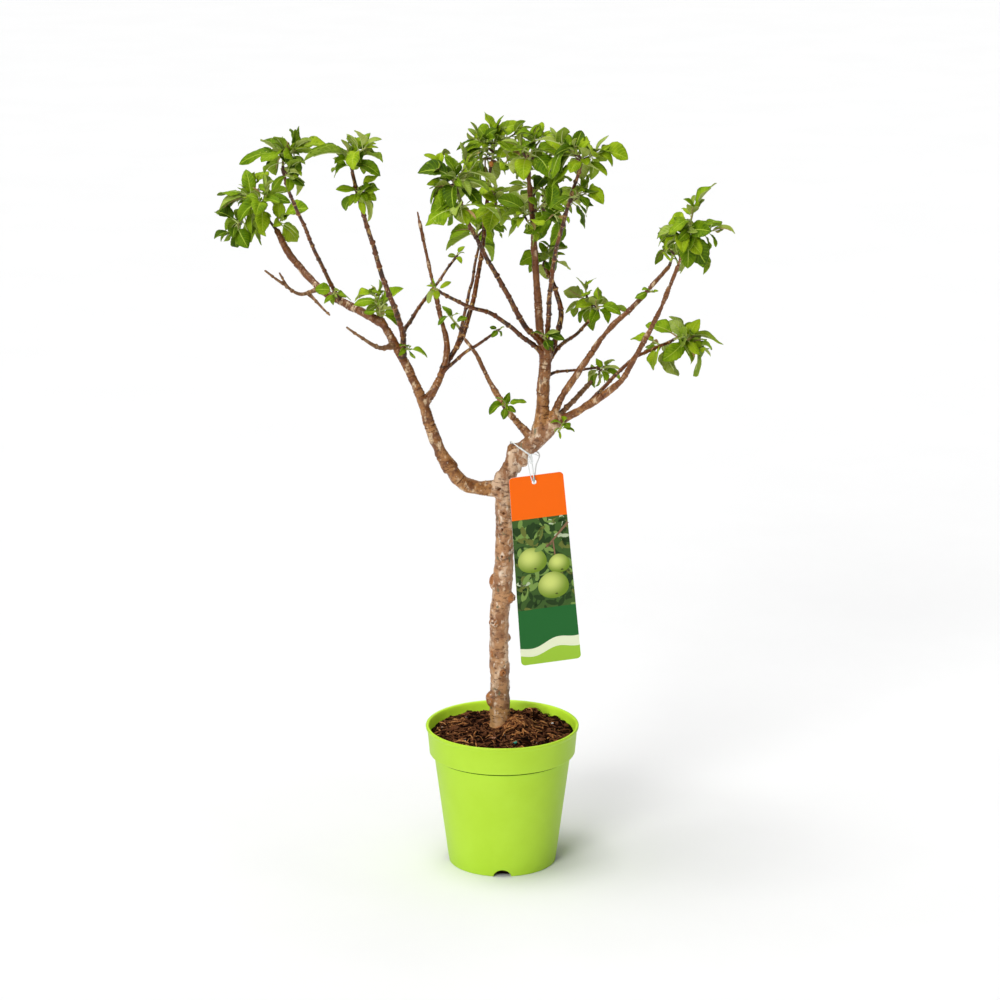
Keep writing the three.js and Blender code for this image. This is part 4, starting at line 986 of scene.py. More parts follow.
@dataclass
class OldWood:
    """The trunk and the thick limbs, grown into one piece with the relief of their bark."""

    skeleton: Skeleton
    flare: float = 1.4
    flare_height: float = 16.0
    foot_z: float = 180.0
    step: float = 2.5  # millimetres from ring to ring of a limb
    collar: float = 0.22  # how much thicker a limb is at its root
    grid: float = 1.15  # millimetres between points of the bark
    smoothings: int = 2
    # each knob: height, bearing round the trunk, size, and how much taller than wide
    knobs: tuple = ((218, 196, 8.4, 1.35), (258, 285, 6, 1), (326, 240, 7.6, 1), (358, 336, 7.4, 1.2),
                    (378, 192, 6.4, 1.8), (448, 262, 5, 1), (518, 196, 7.4, 1.3), (283, 228, 4.8, 1.5),
                    (497, 248, 5.4, 1), (300, 20, 5, 1.2), (405, 75, 5.6, 1.3), (245, 120, 5.2, 1.1),
                    (413, 262, 4.2, 1), (431, 258, 3.8, 1))
    ring_gap: float = 8.0  # millimetres between the ring scars
    stump: tuple = ((12, -2, 528), (16.5, -2, 558), 12.0, 9.6, 6.0)  # foot, top, their radii, and the cap
    scar: tuple = ((27, -7, 541), 6.5)
    # each mark: kind, height, bearing round the trunk and size
    marks: tuple = (
        (EYE, 452, 254, 4.2), (SLIT, 434, 262, 3.2), (EYE, 416, 257, 3.8), (WRINKLE, 404, 266, 4.2),
        (BUD, 383, 281, 1.9), (EYE, 474, 264, 5.0), (WRINKLE, 355, 292, 5.0), (BUD, 244, 246, 2.2),
        (EYE, 326, 240, 3.8), (EYE, 258, 287, 3.2), (WRINKLE, 334, 262, 5.5), (EYE, 358, 336, 3.6),
        (WRINKLE, 466, 270, 4.5), (EYE, 506, 238, 4.6), (WRINKLE, 272, 262, 5.0), (WRINKLE, 300, 285, 5.0),
        (EYE, 395, 100, 4.0), (SLIT, 340, 80, 3.6), (EYE, 290, 60, 4.0), (BUD, 430, 30, 2.2),
        (WRINKLE, 250, 90, 5.0), (EYE, 470, 150, 3.8), (SLIT, 210, 275, 3.4), (WRINKLE, 226, 290, 4.5))
    top_z: float = 590.0  # above it all wood is a bough's
    smooth_z: float = 490.0  # below it the ring scars are faint
    knob_z: float = 400.0  # below it the knobs have their own bark
    foot_bark_z: float = 206.0

    def build(self) -> None:
        """Builds the wood and dresses it."""
        names = ["trunk", *(row.name for row in LIMBS if row.root > THICK_LIMB)]
        thing = self.rods(names).build("old_wood", [], "bark")
        remesh = thing.modifiers.new("grown_together", "REMESH")
        remesh.mode, remesh.voxel_size = "VOXEL", self.grid * MM
        thing.modifiers.new("smoothed", "SMOOTH").iterations = self.smoothings
        thing = settled(thing)
        self.carve(thing.data)
        dressed(thing, BARK_FINISHES)
        self.paint(thing.data)
        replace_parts(thing, *names)

    def rods(self, names: list[str]) -> MeshParts:
        """Makes the trunk, its knobs and stump, and the thick limbs as overlapping solids.

        Args:
            names: the trunk and the thick limbs.

        Returns:
            The solids.
        """
        parts = MeshParts()
        for name in names:
            spine = self.skeleton.spines[name]
            path, shares = even_steps(spine.fine, self.step)
            radii = spine.radius(shares)
            if name == "trunk":
                radii += self.flare * np.exp(-np.maximum(path[:, 2] - self.foot_z, 0) / self.flare_height)
            else:
                radii *= 1 + self.collar * np.exp(-np.maximum(np.arange(len(path)) * self.step - 10, 0) / 8)
            parts.tube(path, radii, 24)
            parts.ball(path[-1], [radii[-1] * 0.98] * 3, 16)
        trunk = self.skeleton.spines["trunk"]
        for z, bearing, size, tall in self.knobs:
            point, share = trunk.at_height(z)
            out = around(trunk.radius(share) - size * 0.25, 360)[bearing]
            parts.ball(point + out, (size, size, size * tall), 16)
        start, top, wide, narrow, cap = self.stump
        parts.tube(np.linspace(start, top, 12), np.linspace(wide, narrow, 12), 24)
        parts.ball(top, (narrow, narrow, cap), 16)
        parts.ball(self.scar[0], [self.scar[1]] * 3, 16)
        return parts

    def carve(self, mesh: Mesh) -> None:
        """Raises the relief of the bark.

        Args:
            mesh: the grown piece.
        """
        places, normals = np.empty((2, len(mesh.vertices) * 3), np.float32)
        mesh.vertices.foreach_get("co", places)
        mesh.vertex_normals.foreach_get("vector", normals)
        points = places.reshape(-1, 3).astype(float) / MM
        points += normals.reshape(-1, 3) * self.relief(points)[:, None]
        mesh.vertices.foreach_set("co", (points * MM).astype(np.float32).ravel())
        mesh.update()

    def on_trunk(self, points: Array) -> tuple[Array, Array, Array]:
        """Finds where places lie on the trunk.

        Args:
            points: the places.

        Returns:
            The bearing and distance of each from the trunk's middle, and the trunk's radius.
        """
        trunk = self.skeleton.spines["trunk"]
        x, y, z = trunk.fine.T
        across, back, up = points.T
        across, back = across - np.interp(up, z, x), back - np.interp(up, z, y)
        radius = np.interp(up, z, trunk.radius(np.linspace(0, 1, len(z))))
        return np.arctan2(back, across), np.hypot(across, back), radius

    def near_mark(self, points: Array, z: float, bearing: float, size: float) -> tuple[Array, Array]:
        """Finds how far places lie from a mark.

        Args:
            points: the places.
            z: the mark's height.
            bearing: its bearing in degrees.
            size: its size.

        Returns:
            The distances up and across, in shares of the mark's size.
        """
        angle, away, radius = self.on_trunk(points)
        turn = (angle - math.radians(bearing) + math.pi) % (2 * math.pi) - math.pi
        return (points[:, 2] - z) / size, np.where(away < radius + 8, turn * radius / size, 99.0)

    def relief(self, points: Array) -> Array:
        """Works out how far the bark stands out.

        Args:
            points: places on the wood.

        Returns:
            A height for each.
        """
        lift = 0.95 * lumpy(points, 12.0, 1) + 0.45 * lumpy(points * [1, 1, 1.5], 6.0, 2)
        lift += 0.12 * lumpy(points * [1, 1, 2.2], 3.0, 3)
        away, strength = self.ring_scars(points)
        lift += strength * (0.5 * bell((away - 1.9) / 0.9) - 0.75 * bell(away / 0.7))
        for kind, *place in self.marks:
            up, across = self.near_mark(points, *place)
            reach = np.hypot(up, across)
            if kind is EYE:
                lift += 1.3 * bell((reach - 0.75) / 0.3) - 1.5 * bell(reach / 0.4)
            elif kind is SLIT:
                lift += 1.1 * bell(up / 0.6) * bell(across / 1.1) - 1.9 * bell(up / 0.22) * bell(across / 0.8)
            elif kind is BUD:
                lift += 1.6 * bell(reach / 0.8) - 0.8 * bell(reach / 0.25)
            else:
                folds = np.cos(up * 5.5 + 0.5 * np.sin(across * 2))
                lift += 0.75 * folds * bell(up / 0.8) * bell(across / 1.6)
        return lift

    def ring_scars(self, points: Array) -> tuple[Array, Array]:
        """Finds the rings that old buds left across the limbs.

        Args:
            points: places on the wood.

        Returns:
            How far each lies from a ring, and how strong the ring is there.
        """
        run = self.skeleton.nearest(points)[1]
        phase = run / self.ring_gap + 0.8 * np.sin(run / 11) + 0.3 * np.sin(run / 4.1)
        phase += 0.12 * lumpy(points, 9, 8)
        strength = np.clip(0.55 + 0.9 * lumpy(points, 13, 9), 0, 1)
        strength *= np.where(points[:, 2] < self.smooth_z, 0.28, 1)
        return np.abs(phase - np.round(phase)) * self.ring_gap, strength

    def paint(self, mesh: Mesh) -> None:
        """Deals out the barks by their places.

        Args:
            mesh: the piece.
        """
        centres = np.empty(len(mesh.polygons) * 3, np.float32)
        mesh.polygons.foreach_get("center", centres)
        points = centres.reshape(-1, 3).astype(float) / MM
        _, away, radius = self.on_trunk(points)
        ragged = 5 * lumpy(points, 7, 5)
        bough = (away > radius + 9) | (points[:, 2] > self.top_z + ragged)
        pale = lumpy(points * [1, 1, 0.6], 10, 16) + 0.5 * lumpy(points, 4, 17)
        ring, strength = self.ring_scars(points)
        lichen = lumpy(points * [1, 1, 0.7], 8, 6) + 0.5 * lumpy(points, 3, 7)
        slot = np.where(bough, Bark.BOUGH, Bark.STEM)
        slot[bough & (ring < 0.55) & (strength > 0.45)] = Bark.RING
        # pale patches, partly painted sheen highlights
        slot[~bough & (pale > 0.8)] = Bark.PALE
        slot[~bough & (lichen > 0.78)] = Bark.LICHEN
        slot[~bough & (points[:, 2] < self.foot_bark_z + ragged)] = Bark.FOOT
        slot[~bough & (away > radius + 2.2) & (points[:, 2] < self.knob_z)] = Bark.KNOB
        for kind, *place in self.marks:
            if kind in (SLIT, EYE):
                up, across = self.near_mark(points, *place)
                slot[np.hypot(up * (2.2 if kind is SLIT else 1), across) < 0.36] = Bark.SCAR
        mesh.polygons.foreach_set("material_index", slot.astype(np.int32))
        mesh.update()


@dataclass
class YoungWood:
    """The thin limbs, as tubes with collars, nodes and buds."""

    skeleton: Skeleton
    ring_gap: float = 1.2
    sides: int = 12
    node_gap: Span = (12.0, 27.0)
    swelling: float = 0.16
    waist: float = 0.16
    pale_nodes: float = 0.45
    bud: float = 0.62
    collar: float = 0.45

    def build(self) -> None:
        """Builds every thin limb and dresses them."""
        parts = MeshParts()
        rows = [row for row in LIMBS if row.root <= THICK_LIMB]
        for number, row in enumerate(rows):
            slot, spines = int(row.name in DRY_LIMBS), self.skeleton.spines
            self.grow(parts, spines[row.name].fine, row.root, row.end, spines[row.parent].root, slot, number)
            for k, (start, tip, root, end) in enumerate(row.forks):
                self.grow(parts, np.linspace(start, tip, 9), root, end, 1.0, slot, 40 + number + k)
        thing = parts.build("young_wood", [YOUNG_BARK, DRY_BARK, NODE_BARK], "young_bark")
        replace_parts(thing, *[row.name for row in rows])

    def grow(self, parts: MeshParts, line: Array, root: float, end: float, inside: float, slot: int,
             seed: int) -> None:
        """Adds one thin limb.

        Args:
            parts: where it goes.
            line: its middle line.
            root: its radius at the root.
            end: its radius at the tip.
            inside: how deep its root lies in its parent.
            slot: its bark.
            seed: sets its nodes and lumps.
        """
        random = np.random.default_rng(seed)
        path, shares = even_steps(line, self.ring_gap)
        run = np.arange(len(path)) * np.linalg.norm(path[1] - path[0])
        wobble = np.stack([lumpy(path, 22, 10 + k) for k in range(3)], axis=1)
        path = path + wobble * 0.9 * np.minimum(run / 20, 1)[:, None]
        turn = turns(self.sides)
        radii = np.repeat((root + (end - root) * shares)[:, None], self.sides, axis=1)
        radii *= 1 + self.collar * np.exp(-np.maximum(run - inside, 0) / 4)[:, None]
        grain = (path[:, 0] + path[:, 2])[:, None] + 60 * np.arange(self.sides)
        radii *= 1 + 0.05 * lumpy(np.stack([grain.ravel()] * 3, axis=1), 3.5, seed).reshape(grain.shape)
        bark = np.full(len(path) - 1, slot)
        at, bearing = inside + 6 + random.uniform(0, 10), random.uniform(0, 2 * math.pi)
        while at < run[-1] - 3:
            ring = bell((run - at) / 1.7)[:, None]
            side = bell(np.angle(np.exp(1j * (turn - bearing))) / 0.75)
            radii += root * self.swelling * ring
            radii += self.bud * (0.6 + 0.3 * root) * side * bell((run - at - 1) / 1.5)[:, None]
            radii -= root * self.waist * bell((run - at + 2.6) / 0.9)[:, None]
            if random.random() < self.pale_nodes:
                bark[np.abs(run[:-1] - at + 1.2) < 0.9] = 2
            at += random.uniform(*self.node_gap)
            bearing += math.radians(GOLDEN_TURN)
        close = np.minimum((run[-1] - run) / max(end, 0.8), 1)
        radii *= np.sqrt(np.maximum(1 - (1 - close) ** 2, 0.08))[:, None]
        parts.tube(path, radii, self.sides, bark)


# Leaves


class Stream:
    """A repeatable stream of numbers from 0 to 1, the one that the solids grow by."""

    def __init__(self, seed: int) -> None:
        """Starts the stream at a seed."""
        self.state = seed

    def __call__(self) -> float:
        """Takes one step.

        Returns:
            A number from 0 to 1.
        """
        self.state = (self.state + STREAM_STEP) & WORD
        t = self.state
        t = ((t ^ (t >> 15)) * (t | 1)) & WORD
        t ^= (t + (((t ^ (t >> 7)) * (t | 61)) & WORD)) & WORD
        return ((t ^ (t >> 14)) & WORD) / (WORD + 1)

    def jitter(self, size: float) -> float:
        """Returns a number around 0 within a size."""
        return (self() - 0.5) * size


@dataclass(frozen=True)
class LeafForm:
    """The proportions of the leaves, as shares of a leaf's length."""

    width: float = 0.62
    widest: float = 0.54
    stalk: float = 0.2
    thick: float = 1.1  # millimetres, of the solid that stands for the leaf
    lift: float = 0.06
    droop: float = 0.08


FORM = LeafForm()


@dataclass
class Leaf:
    """A leaf: where its root is, which way it points and faces, its length, and its age from 0 to 1."""

    root: Array
    along: Array
    up: Array
    length: float
    age: float = 0.8
    tone: int = 0

    def samples(self) -> Array:
        """Spreads places over the leaf's face.

        Returns:
            Forty places, from its root to its tip.
        """
        foot = self.root + self.up * FORM.thick / 2
        tip = self.root + self.along * self.length - self.up * self.length * FORM.droop
        half = np.cross(self.along, self.up) * self.length * FORM.width / 2
        share = np.arange(1, 9)[:, None, None] / 8
        opening = np.maximum(0, (share - FORM.stalk) / (FORM.widest - FORM.stalk))
        wide = np.minimum(opening, (1 - share) / (1 - FORM.widest))
        across = np.linspace(-1, 1, 5)[:, None]
        places = foot + (tip - foot) * share + half * wide * across
        return (places + self.up * self.length * FORM.lift * wide * np.abs(across)).reshape(-1, 3)

    def outer(self) -> Array:
        """Returns the places of the outer three quarters of the leaf."""
        return self.samples()[10:]


@dataclass
class Twig:
    """A twig: its ends, its leading leaves, the places that others may take, and the leaves that it keeps."""

    start: Array
    tip: Array
    leading: list[Leaf]
    places: list[list[Leaf]]
    leaves: list[Leaf] = field(default_factory=list)

    def gap(self, points: Array) -> Array:
        """Finds how far places lie from the twig's middle line.

        Args:
            points: the places.

        Returns:
            A distance for each.
        """
        along = self.tip - self.start
        share = np.clip((points - self.start) @ along / (along @ along), 0, 1)
        return np.linalg.norm(points - self.start - share[:, None] * along, axis=1)


def leaning(axis: Array, turn: float, spread: float) -> Array:
    """Leans a direction away from an axis.

    Args:
        axis: the axis.
        turn: to which side, in degrees round the axis.
        spread: how far, in degrees.

    Returns:
        The direction.
    """
    across, over = cross_frame(axis)
    turn, spread = math.radians(turn), math.radians(spread)
    return axis * math.cos(spread) + (across * math.cos(turn) + over * math.sin(turn)) * math.sin(spread)


def upper_side(along: Array, favoured: Array, roll: float) -> Array:
    """Finds the upper side of a leaf.

    Args:
        along: the way it points.
        favoured: a side to which it turns besides up.
        roll: how far it is rolled, in radians.

    Returns:
        A direction square to the leaf.
    """
    lean = UPRIGHT + 0.6 * favoured
    up = lean - along * (lean @ along)
    up = cross_frame(along)[0] if np.linalg.norm(up) < 0.2 else unit(up)
    return up * math.cos(roll) + np.cross(along, up) * math.sin(roll)


@dataclass
class Growth:
    """Grows the masses by the seeded rule of the solids, and carries them on to finer leaves and twigs."""

    skeleton: Skeleton
    tries: int = 5
    turn: float = GOLDEN_TURN
    turn_jitter: float = 60.0
    spread: Span = (24.0, 92.0)
    spread_jitter: float = 34.0
    size: Span = (0.65, 1.0)
    size_jitter: float = 0.3
    roll_jitter: float = 1.6
    above: float = 1.2
    step: float = 3.4
    sag: float = 0.3
    branch: tuple = (62.0, 30.0, 0.75, 0.3)  # spread and length, each with its jitter
    branch_span: Span = (0.25, 0.9)
    leaf_share: float = 0.75
    lead_facing: Point = (0.0, -0.9, 1.0)
    stem_gap: float = 0.36
    stem_seat: float = 0.5
    stem_root: float = 2.1
    blunt: float = 0.6
    clear: tuple = (1.6, 0.6, 4.0, 5.0)  # of limbs, other masses, twigs and leaves
    fine_clear: tuple = (0.8, -3.0, 0.8, 1.9)
    fine_leaves: int = 4
    fine_twigs: int = 2
    young_leaves: int = 2

    def __post_init__(self) -> None:
        """Works out where each mass has its centre."""
        self.bases = [self.base(row) for row in MASSES]
        self.centres = np.array([base + 0.6 * np.array(row.stem) for row, base in zip(MASSES, self.bases)])
        self.reaches = np.array([row.reach for row in MASSES])

    def base(self, row: MassRow) -> Array:
        """Finds where a mass's stem starts: in a limb's middle, or just clear of the limb's tip.

        Args:
            row: the mass.

        Returns:
            The place.
        """
        spine = self.skeleton.spines[row.limb]
        if row.at is not None:
            return spine.at_height(row.at)[0]
        along = unit(spine.points[-1] - spine.points[-2])
        aligned = along @ unit(np.array(row.stem, float))
        tilt = self.stem_root * self.stem_seat * math.sqrt(max(0, 1 - aligned**2))
        return spine.points[-1] + along * (spine.end * self.blunt + self.stem_gap + tilt)

    def rosette(self, roots: list[Array], axis: Array, leaf: float, random: Stream) -> list[list[Leaf]]:
        """Lays out the leaves round a twig.

        Args:
            roots: their roots, the youngest first.
            axis: the twig's direction.
            leaf: the mass's leaf length.
            random: the stream of numbers.

        Returns:
            For each leaf the places that it may take.
        """
        phase, leaves = random() * 360, []
        for i, root in enumerate(roots):
            age = i / (len(roots) - 1) if len(roots) > 1 else 1.0
            lean, size = (first + (last - first) * age for first, last in (self.spread, self.size))
            places = []
            for k in range(self.tries):
                turn = phase + (i + k) * self.turn + random.jitter(self.turn_jitter)
                spread = lean + random.jitter(self.spread_jitter)
                length = leaf * size * (1 + random.jitter(self.size_jitter))
                roll = random.jitter(self.roll_jitter)
                along = unit(leaning(axis, turn, spread) - self.sag * age * UPRIGHT)
                places.append(Leaf(root, along, upper_side(along, axis, roll), length, age))
            leaves.append(places)
        return leaves

    def twig(self, row: MassRow, number: int, start: Array, offset: Array, count: int,
             random: Stream) -> Twig:
        """Grows one twig.

        Args:
            row: its mass.
            number: its number in the mass, 0 for the stem.
            start: where it starts.
            offset: from there to its tip.
            count: how many leaves its rosette has.
            random: the stream of numbers.

        Returns:
            The twig with all its places.
        """
        tip, length = start + offset, np.linalg.norm(offset)
        axis = offset / length
        leads = [lead[1:] for lead in row.lead if lead[0] == number]
        step = min(self.step, (length - 2 * self.above) / (len(leads) + count))
        roots = [tip - axis * (self.above + step * i) for i in range(len(leads) + count)]
        leading = []
        for root, reach in zip(roots, leads):
            along = tip + np.array(reach, float) - root
            size = np.linalg.norm(along)
            along = along / size
            leading.append(Leaf(root, along, upper_side(along, np.array(self.lead_facing), 0), size))
        return Twig(start, tip, leading, self.rosette(roots[len(leads):], axis, row.leaf, random))

    def grow(self, row: MassRow, base: Array) -> list[Twig]:
        """Grows a mass as if nothing stood in its way.

        Args:
            row: the mass.
            base: where its stem starts.

        Returns:
            Its twigs, the stem first.
        """
        random, stem = Stream(row.seed), np.array(row.stem, float)
        twigs = [self.twig(row, 0, base, stem, row.leaves, random)]
        count = max(2, int(row.leaves * self.leaf_share + 0.5))
        for share, *reach in row.spurs:
            start, offset = base + stem * share, np.array(reach, float)
            twigs.append(self.twig(row, len(twigs), start, offset, count, random))
        phase = random() * 360
        low, high = self.branch_span
        angle, angle_jitter, part, part_jitter = self.branch
        for i in range(row.twigs):
            share = low + (high - low) * ((i + random()) / row.twigs)
            spread = angle + random.jitter(angle_jitter)
            length = row.leaf * part * (1 + random.jitter(part_jitter))
            offset = leaning(unit(stem), phase + i * self.turn, spread) * length
            twigs.append(self.twig(row, len(twigs), base + stem * share, offset, count, random))
        return twigs

    def own_space(self, number: int, points: Array, margin: float) -> Array:
        """Tells which places lie in a mass's own space.

        Args:
            number: the mass's number.
            points: the places.
            margin: how clear of a neighbour's space they have to be.

        Returns:
            True for each that does.
        """
        power = np.sum((points[:, None] - self.centres) ** 2, axis=2) - self.reaches**2
        apart = 2 * margin * np.linalg.norm(self.centres - self.centres[number], axis=1)
        beyond = power - power[:, [number]] > apart
        beyond[:, number] = True
        return (power[:, number] <= 0) & beyond.all(axis=1)

    def stands(self, number: int, points: Array, clear: tuple) -> bool:
        """Tells whether places are in their mass's space and clear of the wood."""
        return bool(self.own_space(number, points, clear[1]).all()
                    and (self.skeleton.nearest(points)[0] > clear[0]).all())

    def first_free(self, number: int, places: list[Leaf], taken: list[Array], others: list[Twig],
                   clear: tuple) -> Leaf | None:
        """Picks the first free place of a leaf, and takes it.

        Args:
            number: the mass's number.
            places: the places to try.
            taken: what the leaves so far take up; the new leaf is added.
            others: the twigs to keep clear of.
            clear: the distances to keep.

        Returns:
            The leaf, or None where no place is free.
        """
        for leaf in places:
            if not self.stands(number, leaf.samples(), clear):
                continue
            outer = leaf.outer()
            if any((twig.gap(outer) < clear[2]).any() for twig in others):
                continue
            if taken:
                near = np.linalg.norm(outer[:, None] - np.concatenate(taken), axis=2)
                if near.min() < clear[3]:
                    continue
            taken.append(outer)
            return leaf
        return None

    def kept(self, number: int) -> list[Twig]:
        """Grows a mass, and keeps what stands in its own space clear of the rest, finer growth last.

        Args:
            number: the mass's number.

        Returns:
            Its twigs with their leaves.
        """
        row = MASSES[number]
        twigs = [twig for i, twig in enumerate(self.grow(row, self.bases[number]))
                 if i == 0 or self.stands(number, twig.tip[None], self.clear)]
        for twig in twigs:
            twig.leaves = [leaf for leaf in twig.leading if self.stands(number, leaf.samples(), self.clear)]
        taken = [leaf.outer() for twig in twigs for leaf in twig.leaves]
        for twig in twigs:
            others = [other for other in twigs if other is not twig]
            found = [self.first_free(number, places, taken, others, self.clear) for places in twig.places]
            twig.leaves += [leaf for leaf in found if leaf]
        return twigs + self.finer(number, row, twigs, taken)

    def finer(self, number: int, row: MassRow, twigs: list[Twig], taken: list[Array]) -> list[Twig]:
        """Adds smaller leaves to the twigs of a mass, the youngest at each tip, and short side twigs.

        Args:
            number: the mass's number.
            row: the mass.
            twigs: its twigs, which get more leaves.
            taken: what the leaves so far take up.

        Returns:
            The side twigs.
        """
        random = Stream(row.seed + 500)
        sides = []
        for _ in range(self.fine_twigs if row.leaf > 25 else 0):
            parent = twigs[int(random() * len(twigs))]
            along = parent.tip - parent.start
            start = parent.start + along * (0.3 + 0.6 * random())
            way = leaning(unit(along), random() * 360, 58 + 20 * random())
            offset = way * row.leaf * (0.28 + 0.15 * random())
            if self.stands(number, (start + offset)[None], self.fine_clear):
                sides.append(Twig(start, start + offset, [], []))
        for twig in [*twigs, *sides]:
            along = twig.tip - twig.start
            axis, length = unit(along), float(np.linalg.norm(along))
            count = self.fine_leaves if row.leaf > 25 else 2
            roots = [twig.tip - along * (0.04 + 0.7 * i / count) for i in range(count)]
            for places in self.rosette(roots, axis, row.leaf * (0.66 + 0.3 * random()), random):
                leaf = self.first_free(number, places, taken, [], self.fine_clear)
                if leaf:
                    twig.leaves.append(leaf)
            for i in range(self.young_leaves):
                spread, size = 16 + 26 * random(), (0.3 + 0.2 * random()) * min(row.leaf, 40)
                way = leaning(axis, i * self.turn + 40 * random(), spread)
                root = twig.tip - axis * min(2.0, 0.2 * length)
                twig.leaves.append(Leaf(root, way, upper_side(way, -axis, 3 * random()), size, 0.0))
        return sides


@dataclass
class Foliage:
    """All leaves with their stalks and twigs, in a few joined pieces."""

    growth: Growth
    rows: int = 12
    across: tuple[float, ...] = (-1.0, -0.68, -0.34, -0.055, 0.055, 0.34, 0.68, 1.0)
    thick: float = 0.28
    stalk_sides: int = 5
    stalk_radius: Span = (1.05, 0.45)
    red_stalks: float = 0.18
    green_unders: float = 0.6
    tooth: float = 0.03
    quilt: float = 0.045  # how far the blade swells between its veins, and how many times
    quilts: int = 7
    moods: tuple[float, ...] = (0.3, 0.34, 0.24, 0.12)  # shares of the sprays, from bright to deep
    pieces: tuple[str, ...] = ("left", "crown_left", "crown_right", "right")
    borders: tuple[float, ...] = (-130.0, 0.0, 130.0)  # between the pieces

    def build(self) -> None:
        """Grows all masses and builds the pieces."""
        pieces = {name: ([], []) for name in self.pieces}
        shoots = MeshParts()
        for number, row in enumerate(MASSES):
            region = self.pieces[int(np.searchsorted(self.borders, self.growth.centres[number][0]))]
            twigs = self.growth.kept(number)
            random = np.random.default_rng(row.seed)
            for k, twig in enumerate(twigs):
                self.shoot(shoots, row, twig, k, random)
                mood = random.choice(4, p=self.moods)
                for leaf in twig.leaves:
                    leaf.tone = self.tone(leaf, mood, random)
                pieces[region][0].extend(twig.leaves)
            pieces[region][1].append(row.name)
        stalks = MeshParts()
        for seed, (region, (leaves, names)) in enumerate(pieces.items()):
            random = np.random.default_rng(seed)
            shape = BladeShape.draw(leaves, random)
            blades = MeshParts()
            self.blades(blades, shape, random)
            thing = blades.build(f"leaves_of_{region}", BLADE_FINISHES, "foliage")
            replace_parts(thing, *names)
            self.stalks(stalks, shape, random)
            LOG.info("%s: %d leaves", thing.name, len(leaves))
        stalks.build("leaf_stalks", [STALK_GREEN, STALK_RED], "foliage")
        shoots.build("leafy_shoots", [SHOOT_WOOD, SHOOT_GREEN, BUD_ORANGE], "foliage")

    def tone(self, leaf: Leaf, mood: int, random: Random) -> int:
        """Deals a leaf its colour.

        Args:
            leaf: the leaf.
            mood: the colour of its spray.
            random: the numbers to deal by.

        Returns:
            The slot of its upper side.
        """
        draw = random.random()
        if leaf.age == 0:
            return 4 if draw < 0.4 else 5 if draw < 0.52 else 0
        if draw < 0.05:
            return 4
        if draw < 0.45:
            return int(np.clip(mood + random.integers(-1, 2), 0, 3))
        return int(mood)

    def shoot(self, parts: MeshParts, row: MassRow, twig: Twig, number: int, random: Random) -> None:
        """Adds the wood of one twig, brown at its foot and green above.

        Args:
            parts: where it goes.
            row: its mass.
            twig: the twig.
            number: its number in the mass, 0 for the stem.
            random: the numbers that shape it.
        """
        axis = unit(twig.tip - twig.start)
        start = twig.start - axis * (3.0 if number == 0 and row.at is None else 0.0)
        length = float(np.linalg.norm(twig.tip - start))
        sway = cross_frame(axis)[0] * random.uniform(-0.05, 0.05) * length
        share = np.linspace(0, 1, max(6, int(length / 1.4)))
        path = start + (twig.tip - start) * share[:, None] + sway * np.sin(math.pi * share)[:, None]
        root, end = (1.9, 1.1) if number == 0 else (1.35, 0.85)
        radii = root + (end - root) * share + 0.12 * np.sin(share * length * 2.1)
        radii += 0.55 * bell((share * length - 4.5) / 1.2) + 0.4 * bell((share * length - 7.5) / 0.9)
        brown = max(0.3, 9 / length)
        parts.tube(path, radii, 9, (share[:-1] > brown).astype(int))
        if row.name == "leaves_crown_top" and number == 0:
            parts.ball(twig.start + axis * 9, (3.2, 3.2, 4.2), 10, 2)

    def blades(self, parts: MeshParts, shape: "BladeShape", random: Random) -> None:
        """Adds the blades: an upper and an under sheet with toothed edges, joined by a thin rim.

        Args:
            parts: where they go.
            shape: their shapes.
            random: the numbers to deal undersides by.
        """
        share = np.linspace(0, 1, self.rows + 1)
        across = np.array(self.across)
        count, columns = len(shape.length), len(across)
        middle, side, normal = shape.line(FORM.stalk + (1 - FORM.stalk) * share)
        outline = share**0.6 * (1 - share) ** 0.8
        outline = np.maximum(outline / outline.max(), 0.03)
        teeth = 1 + self.tooth * np.where(np.arange(self.rows + 1) % 2, 1, -1)
        wide = (shape.length * shape.width / 2)[:, None, None] * outline[:, None]
        rim, share = np.abs(across), share[:, None]
        fold, curl, wave, ripple, phase = (
            value[:, None, None] for value in (shape.fold, shape.curl, shape.wave, shape.ripple, shape.phase))
        edge = np.where(rim > 0.99, teeth[:, None], 1)
        fold = fold * (1 - 0.35 * share)
        wave = wave * np.sin(phase + np.where(across > 0, 1.9, 0) + ripple * share) * rim**2
        out = wide * across * edge * np.cos(fold)
        rise = wide * (rim * np.sin(fold) + curl * rim**2 + wave)
        quilt = self.quilt * wide * np.sin(share * 2 * math.pi * self.quilts) * (rim * (1 - rim) * 4)
        middle, side, normal = middle[:, :, None], side[:, :, None], normal[:, :, None]
        top = middle + side * out[..., None] + normal * (rise + quilt)[..., None]
        points = np.stack([top, top - normal * self.thick], axis=1).reshape(-1, 3)
        flat = np.stack(np.broadcast_arrays((across + 1) / 2, share), axis=-1)
        grid = np.arange((self.rows + 1) * columns).reshape(self.rows + 1, columns)
        sheet = np.stack([grid[:-1, :-1], grid[:-1, 1:], grid[1:, 1:], grid[1:, :-1]], axis=-1).reshape(-1, 4)
        loop = np.concatenate([grid[0], grid[1:, -1], grid[-1, -2::-1], grid[-2:0:-1, 0]])
        after = np.roll(loop, -1)
        rims = np.stack([after, loop, loop + grid.size, after + grid.size], axis=-1)
        template = np.vstack([sheet, sheet[:, ::-1] + grid.size, rims])
        ribs = (np.abs(across[:-1] + across[1:]) < 0.02).astype(int)
        kind = np.concatenate([np.tile(ribs, self.rows), np.full(len(sheet) + len(rims), 2)])
        under = UNDER_SLOT + (random.random(count) < self.green_unders)
        tones = np.c_[shape.tone, np.full(count, RIB_SLOT), under]
